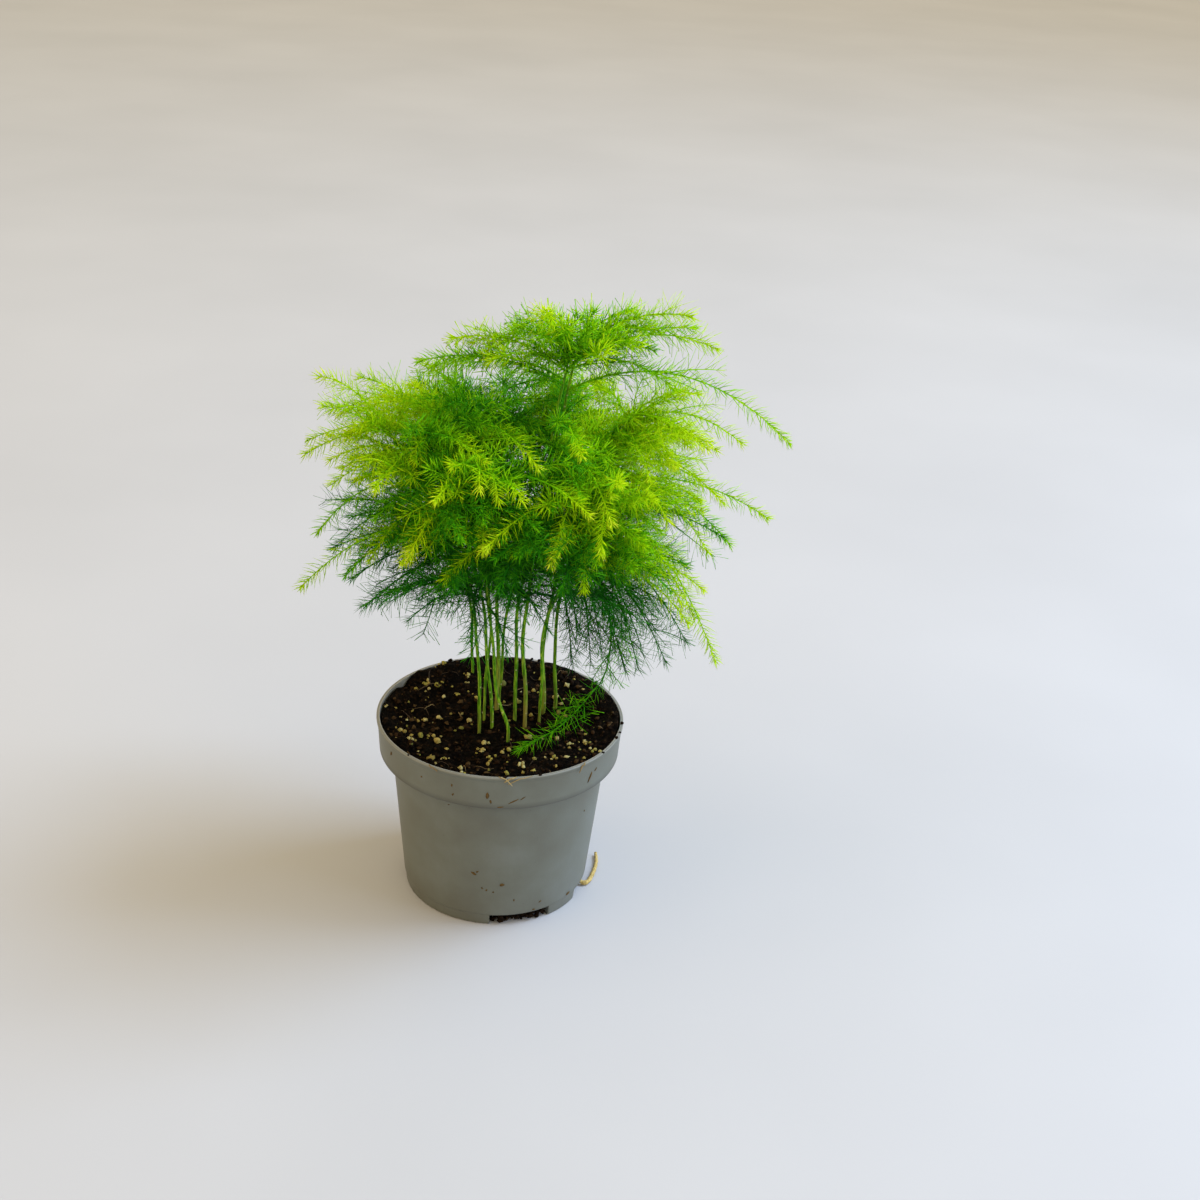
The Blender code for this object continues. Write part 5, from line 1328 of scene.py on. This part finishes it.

# Stem skin: smooth and green above, and tan and corky towards the foot, more so on an old stem. The fine
# ridges run along the stem, so the noise is stretched along Z; the greens follow the same noise as the bump,
# so the ridges are paler and the grooves darker, painted highlight and shade over the stem's own green. The
# pale dots are dry scale leaves.
stem_skin, add, places = start_material("wiry stem skin")
age = add("Attribute", out="Fac", attribute_name="age")
height = add("SeparateXYZ", {0: places}, "Z")
drawn_out = add("Mapping", {"Vector": places, "Scale": (1.0, 1.0, 0.12)})
ridges = add("TexNoise", {"Vector": drawn_out, "Scale": 1300.0, "Detail": 3.0})
# painted highlight and shade: the green is paler where the ridge bump rises and darker in the grooves
skin = add("ValToRGB", {0: ridges}, stops=((0.35, "#2c5e02"), (0.52, "#588c08"), (0.70, "#9aba30")))
patches = add("TexNoise", {"Vector": places, "Scale": 190.0, "Detail": 4.0})
foot_share = add("MapRange", {"Value": height, 1: 0.088, 2: 0.150, 3: 0.50, 4: -0.95})
cork_amount = add("Math", {0: foot_share, 1: age}, operation="ADD")
cork = add("Math", {0: patches, 1: cork_amount}, operation="MULTIPLY")
cork_share = add("ValToRGB", {0: cork}, stops=((0.22, "#000000"), (0.62, "#e0e0e0")))
scales = add("TexVoronoi", {"Vector": places, "Scale": 330.0, "Randomness": 1.0})
scale_share = add("ValToRGB", {0: scales}, stops=((0.12, "#d0d0d0"), (0.19, "#000000")))
corky = add("Mix", {0: cork_share, 6: skin, 7: linear("#8e7a40")}, 2, data_type="RGBA")
scaly = add("Mix", {0: scale_share, 6: corky, 7: linear("#c0bc88")}, 2, data_type="RGBA")
ridged = add("Bump", {"Height": ridges, "Distance": 0.0002, "Strength": 0.5})
add("OutputMaterial", {"Surface": add("BsdfPrincipled", {
    "Base Color": scaly, "Roughness": 0.60, "Normal": ridged, "Specular IOR Level": 0.14})})

coarse_paths = [stem_path(stem, STEM_STEPS) for stem in STEMS]
fine_paths = [stem_path(stem, 16) for stem in STEMS]
for number, path in enumerate(fine_paths):
    sway = STEM_SWAY * rising(path[:, 2:], STEM_FREE_Z, 0.02)
    path[:, :2] += sway * np.sin(path[:, 2:] * (110, 140) + (number * 1.9, number * 2.7))
plans = list(OUTLINE_SPRAYS)
plans += [(*spray, tip_youth(spray[2])) for spray in head_sprays(coarse_paths, 1, SPRAYS_PER_STEM,
                                                                  FEWEST_FILLERS, 0.0)]
plans += [(*spray, LEADER_YOUTH) for spray in leaders(coarse_paths)]
owners = [plan[0] for plan in plans] + [TRAILING_STEM]
axes = [arch(point_at_height(coarse_paths[n], height), tip, rise) for n, height, tip, rise, _ in plans]
axes = ease_apart([*axes, trailing_axis(coarse_paths)], owners, coarse_paths)
youths = [plan[4] for plan in plans] + [TRAILING_YOUTH]
extra = head_sprays(coarse_paths, 5, 0, INNER_SPRAYS, 0.31, INNER_REACH, INNER_CEILING)
crown_draw, low_draw = random.Random(6), random.Random(7)
low = []
for number, path in enumerate(coarse_paths):
    crown_base, low_base = path[-1, 2] - CROWN_DROP, low_level(path[3, 1]) + LOW_LIFT
    extra += short_sprays(path, number, crown_draw, CROWN_SPRAYS[number], crown_base, CROWN_RULE)
    low += short_sprays(path, number, low_draw, LOW_SPRAYS, low_base, LOW_RULE)
extra = [(*spray, tip_youth(spray[2])) for spray in map(kept_inside, extra)]
extra += [(n, height, (x, y, max(z, low_level(y))), rise, LOW_YOUTH) for n, height, (x, y, z), rise in low]
extra = [*DETAIL_SPRAYS, *extra]
trailing = len(owners) - 1
placed_by_hand = {*range(len(OUTLINE_SPRAYS)), *range(len(owners), len(owners) + len(DETAIL_SPRAYS))}
owners += [spray[0] for spray in extra]
axes += [arch(point_at_height(coarse_paths[n], height), tip, rise) for n, height, tip, rise, _ in extra]
youths += [spray[4] for spray in extra]
twig_kinds = [CROWN_TWIGS if axis[0, 2] > CROWN_HEIGHT else INNER_TWIGS if k not in placed_by_hand else
              OLD_TWIGS if youths[k] < 0 else OUTER_TWIGS for k, axis in enumerate(axes)]
twig_kinds[trailing] = TRAILING_TWIGS

for number, stem in enumerate(STEMS):
    rng = np.random.default_rng(100 + number)
    own = [k for k, owner in enumerate(owners) if owner == number]
    sprays, spray_youths, twig_sets = [], [], []
    loose = np.array([TRAILING_LOOSENESS if k == trailing else 0.0 for k in own])
    for k in own:
        axis = axes[k].copy()
        axis[0] = point_at_height(fine_paths[number], axis[0, 2])
        sprays.append(spaced(axis, SPRAY_KNOTS))
        spray_youths.append(youths[k])
        twig_sets.append(grow_twigs(axis, youths[k], steepness(axis[-1]), rng, *twig_kinds[k]))
    sprays, spray_youths = np.array(sprays), np.array(spray_youths)
    steep = np.array([steepness(spray[-1]) for spray in sprays])
    twigs = np.concatenate([found[0] for found in twig_sets])
    twig_roots = np.concatenate([found[1] for found in twig_sets])
    twig_tips = np.concatenate([found[2] for found in twig_sets])
    twig_loose = np.repeat(loose, [len(found[0]) for found in twig_sets])
    low, high = np.array(solid_low) + TWIG_MARGIN, np.array(solid_high) - TWIG_MARGIN
    inside = ((twigs > low) & (twigs < high)).all((1, 2)) & (twigs[..., 2].min(1) > TWIG_LOWEST)
    twigs, twig_loose = twigs[inside], twig_loose[inside]
    twig_roots, twig_tips = twig_roots[inside], twig_tips[inside]

    stem_line = spaced(fine_paths[number], STEM_RINGS)[None]
    share = np.linspace(0, 1, STEM_RINGS)
    wobble = 1 + 0.05 * np.sin(share * 70 + number) + 0.04 * np.sin(share * 131)
    stem_radii = ((stem[3] + (STEM_TOP_RADIUS - stem[3]) * share) * wobble)[None]
    t, twig_t = np.linspace(0, 1, SPRAY_KNOTS), np.linspace(0, 1, TWIG_KNOTS)
    spine_radii = np.repeat((SPRAY_RADIUS - SPRAY_TAPER * t)[None], len(sprays), 0)
    twig_radii = np.repeat((TWIG_RADIUS - TWIG_TAPER * twig_t)[None], len(twigs), 0)
    young = youth_along(spray_youths[:, None], steep[:, None], t)
    sparse = np.maximum(loose, np.clip(0.5 - 2.5 * spray_youths, 0, 1))
    lateral = SIDE_SPARSENESS * rising(np.abs(twigs[:, -1, 0] - SIDE_MIDDLE), *SIDE_RAMP)
    twig_sparse = np.maximum(np.maximum(twig_loose, lateral), np.clip(0.5 - 2.5 * twig_tips, 0, 1))

    parts = [
        (*tubes(stem_line, stem_radii, STEM_SIDES)[:2], None),
        (*tubes(sprays, spine_radii, SPRAY_SIDES)[:2], tube_youths(young, SPRAY_SIDES) - 0.10),
    ]
    if len(twigs):
        twig_young = twig_roots[:, None] + (twig_tips - twig_roots)[:, None] * twig_t
        parts.append((*tubes(twigs, twig_radii, TWIG_SIDES)[:2], tube_youths(twig_young, TWIG_SIDES) - 0.08))
        parts.append(grow_needles(twigs, twig_roots, twig_tips, rng, twig_sparse, False))
    parts.append(grow_needles(sprays, youth_along(spray_youths, steep, 0), spray_youths, rng, sparse, True))

    points, faces, picks, youth_values = [], [], [], []
    placed = 0
    for k, (part_points, part_faces, part_youth) in enumerate(parts):
        points.append(part_points)
        faces += [f + placed for f in part_faces]
        picks += [np.full(len(f), 0 if k else 1) for f in part_faces]
        youth_values.append(np.zeros(len(part_points)) if part_youth is None else part_youth)
        placed += len(part_points)
    frond = solid_piece(f"fern_frond_{number + 1:02d}", np.vstack(points), faces, [needle_green, stem_skin],
                        picks=picks, youth=np.concatenate(youth_values),
                        age=np.full(placed, STEM_AGES[number]))
    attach(frond, "root")
    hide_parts(f"frond_{number + 1:02d}")


# The root strand is one dry root that has come out of the right drain hole and lies round the foot of the
# pot on the floor: tan, wrinkled, and thinner towards its end.
STRAND_RADIUS = 0.0012
STRAND_TIP_RADIUS = 0.0008
STRAND_RINGS = 90
STRAND_SIDES = 12
STRAND_POINTS = ((0.0400, -0.0067, 0.0066), (0.0412, -0.0075, 0.0042), (0.0438, -0.0100, 0.0016),
                 (0.0472, -0.0090, 0.0013), (0.0502, -0.0010, 0.0013), (0.0520, 0.0080, 0.0013),
                 (0.0520, 0.0165, 0.0013))
strand_line = spaced(smooth_path(STRAND_POINTS, 12), STRAND_RINGS)
share = np.linspace(0, 1, STRAND_RINGS)
strand_radii = (STRAND_RADIUS + (STRAND_TIP_RADIUS - STRAND_RADIUS) * share) * (
    1 + 0.10 * np.sin(share * 57) + 0.07 * np.sin(share * 143 + 1))
strand_line[:, 2] = np.maximum(strand_line[:, 2], strand_radii + 0.0001)
strand_points, strand_faces, _ = tubes(strand_line[None], strand_radii[None], STRAND_SIDES)

# Dry root bark: straw to tan, with dark flecks of peat in its wrinkles, which run along it.
root_bark, add, places = start_material("dry tan root bark")
flecks = add("TexNoise", {"Vector": places, "Scale": 900.0, "Detail": 5.0, "Roughness": 0.7})
tans = add("ValToRGB", {0: flecks}, stops=((0.36, "#7a6634"), (0.50, "#b49c56"), (0.70, "#ccb878")))
wrinkled = add("Bump", {"Height": flecks, "Distance": 0.0003, "Strength": 0.7})
add("OutputMaterial", {"Surface": add("BsdfPrincipled", {
    "Base Color": tans, "Roughness": 0.75, "Normal": wrinkled})})

strand = solid_piece("root_strand_fine", strand_points, strand_faces, [root_bark])
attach(strand, "root")
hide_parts("root_strand")


# The stage: a plain pale floor, one large soft cool light from the right and a little behind with a weak
# glow beside it, the light of a warm wall at the left, a soft room light all round, and the camera where
# the photographer stood.
FLOOR_HALF = 6.0
CAMERA_PLACE = (0.0, -0.7231, 0.5039)
CAMERA_RIGHT = (0.9978, -0.0349, 0.0565)
CAMERA_UP = (-0.0357, 0.4355, 0.8995)
CAMERA_BACK = (-0.0560, -0.8995, 0.4333)
LENS = 51.0
FLOOR_Z = -0.0002
ROOM_LIGHT = 1.08

floor_paint, add, places = start_material("matt white table top")
broad = add("TexNoise", {"Vector": places, "Scale": 3.0, "Detail": 3.0})
whites = add("ValToRGB", {0: broad}, stops=((0.3, "#abacac"), (0.7, "#b1b2b2")))
add("OutputMaterial", {"Surface": add("BsdfPrincipled", {
    "Base Color": whites, "Roughness": 0.6, "Specular IOR Level": 0.25})})
floor_corners = [(x * FLOOR_HALF, y * FLOOR_HALF, FLOOR_Z) for x, y in ((-1, -1), (1, -1), (1, 1), (-1, 1))]
floor = solid_piece("floor", floor_corners, [np.array([(0, 1, 2, 3)])], [floor_paint], smooth=False)


def soft_light(name, place, target, size, power, code):
    """Adds a square area light that looks from its place at a target."""
    lamp = bpy.data.lights.new(name, "AREA")
    lamp.size = size
    lamp.energy = power
    lamp.color = linear(code)[:3]
    holder = bpy.data.objects.new(name, lamp)
    back = unit(np.array(place) - np.array(target))
    right = unit(np.cross((0.0, 0.0, 1.0), back))
    turn = Matrix(np.stack([right, np.cross(back, right), back], 1).tolist()).to_4x4()
    holder.matrix_world = Matrix.Translation(place) @ turn
    bpy.context.scene.collection.objects.link(holder)


soft_light("window", (1.75, 0.30, 2.50), (0.0, 0.0, 0.12), 1.5, 106.0, "#c0daff")
soft_light("window glow", (1.30, -0.45, 0.50), (0.0, 0.0, 0.10), 0.7, 11.0, "#b4d2ff")
soft_light("warm wall", (-1.30, -0.35, 0.70), (0.0, 0.0, 0.06), 1.2, 5.0, "#ffcf90")
world = bpy.data.worlds.new("soft room light")
world.use_nodes = True
world.node_tree.nodes["Background"].inputs["Color"].default_value = linear("#ffefd2")
world.node_tree.nodes["Background"].inputs["Strength"].default_value = ROOM_LIGHT
bpy.context.scene.world = world
bpy.context.scene.view_settings.view_transform = "Standard"

lens = bpy.data.cameras.new("camera")
lens.lens = LENS
lens.sensor_width = 36.0
lens.clip_start = 0.01
camera = bpy.data.objects.new("camera", lens)
axes = Matrix(np.array([CAMERA_RIGHT, CAMERA_UP, CAMERA_BACK]).T.tolist()).to_4x4()
camera.matrix_world = Matrix.Translation(CAMERA_PLACE) @ axes
bpy.context.scene.collection.objects.link(camera)
bpy.context.scene.camera = camera
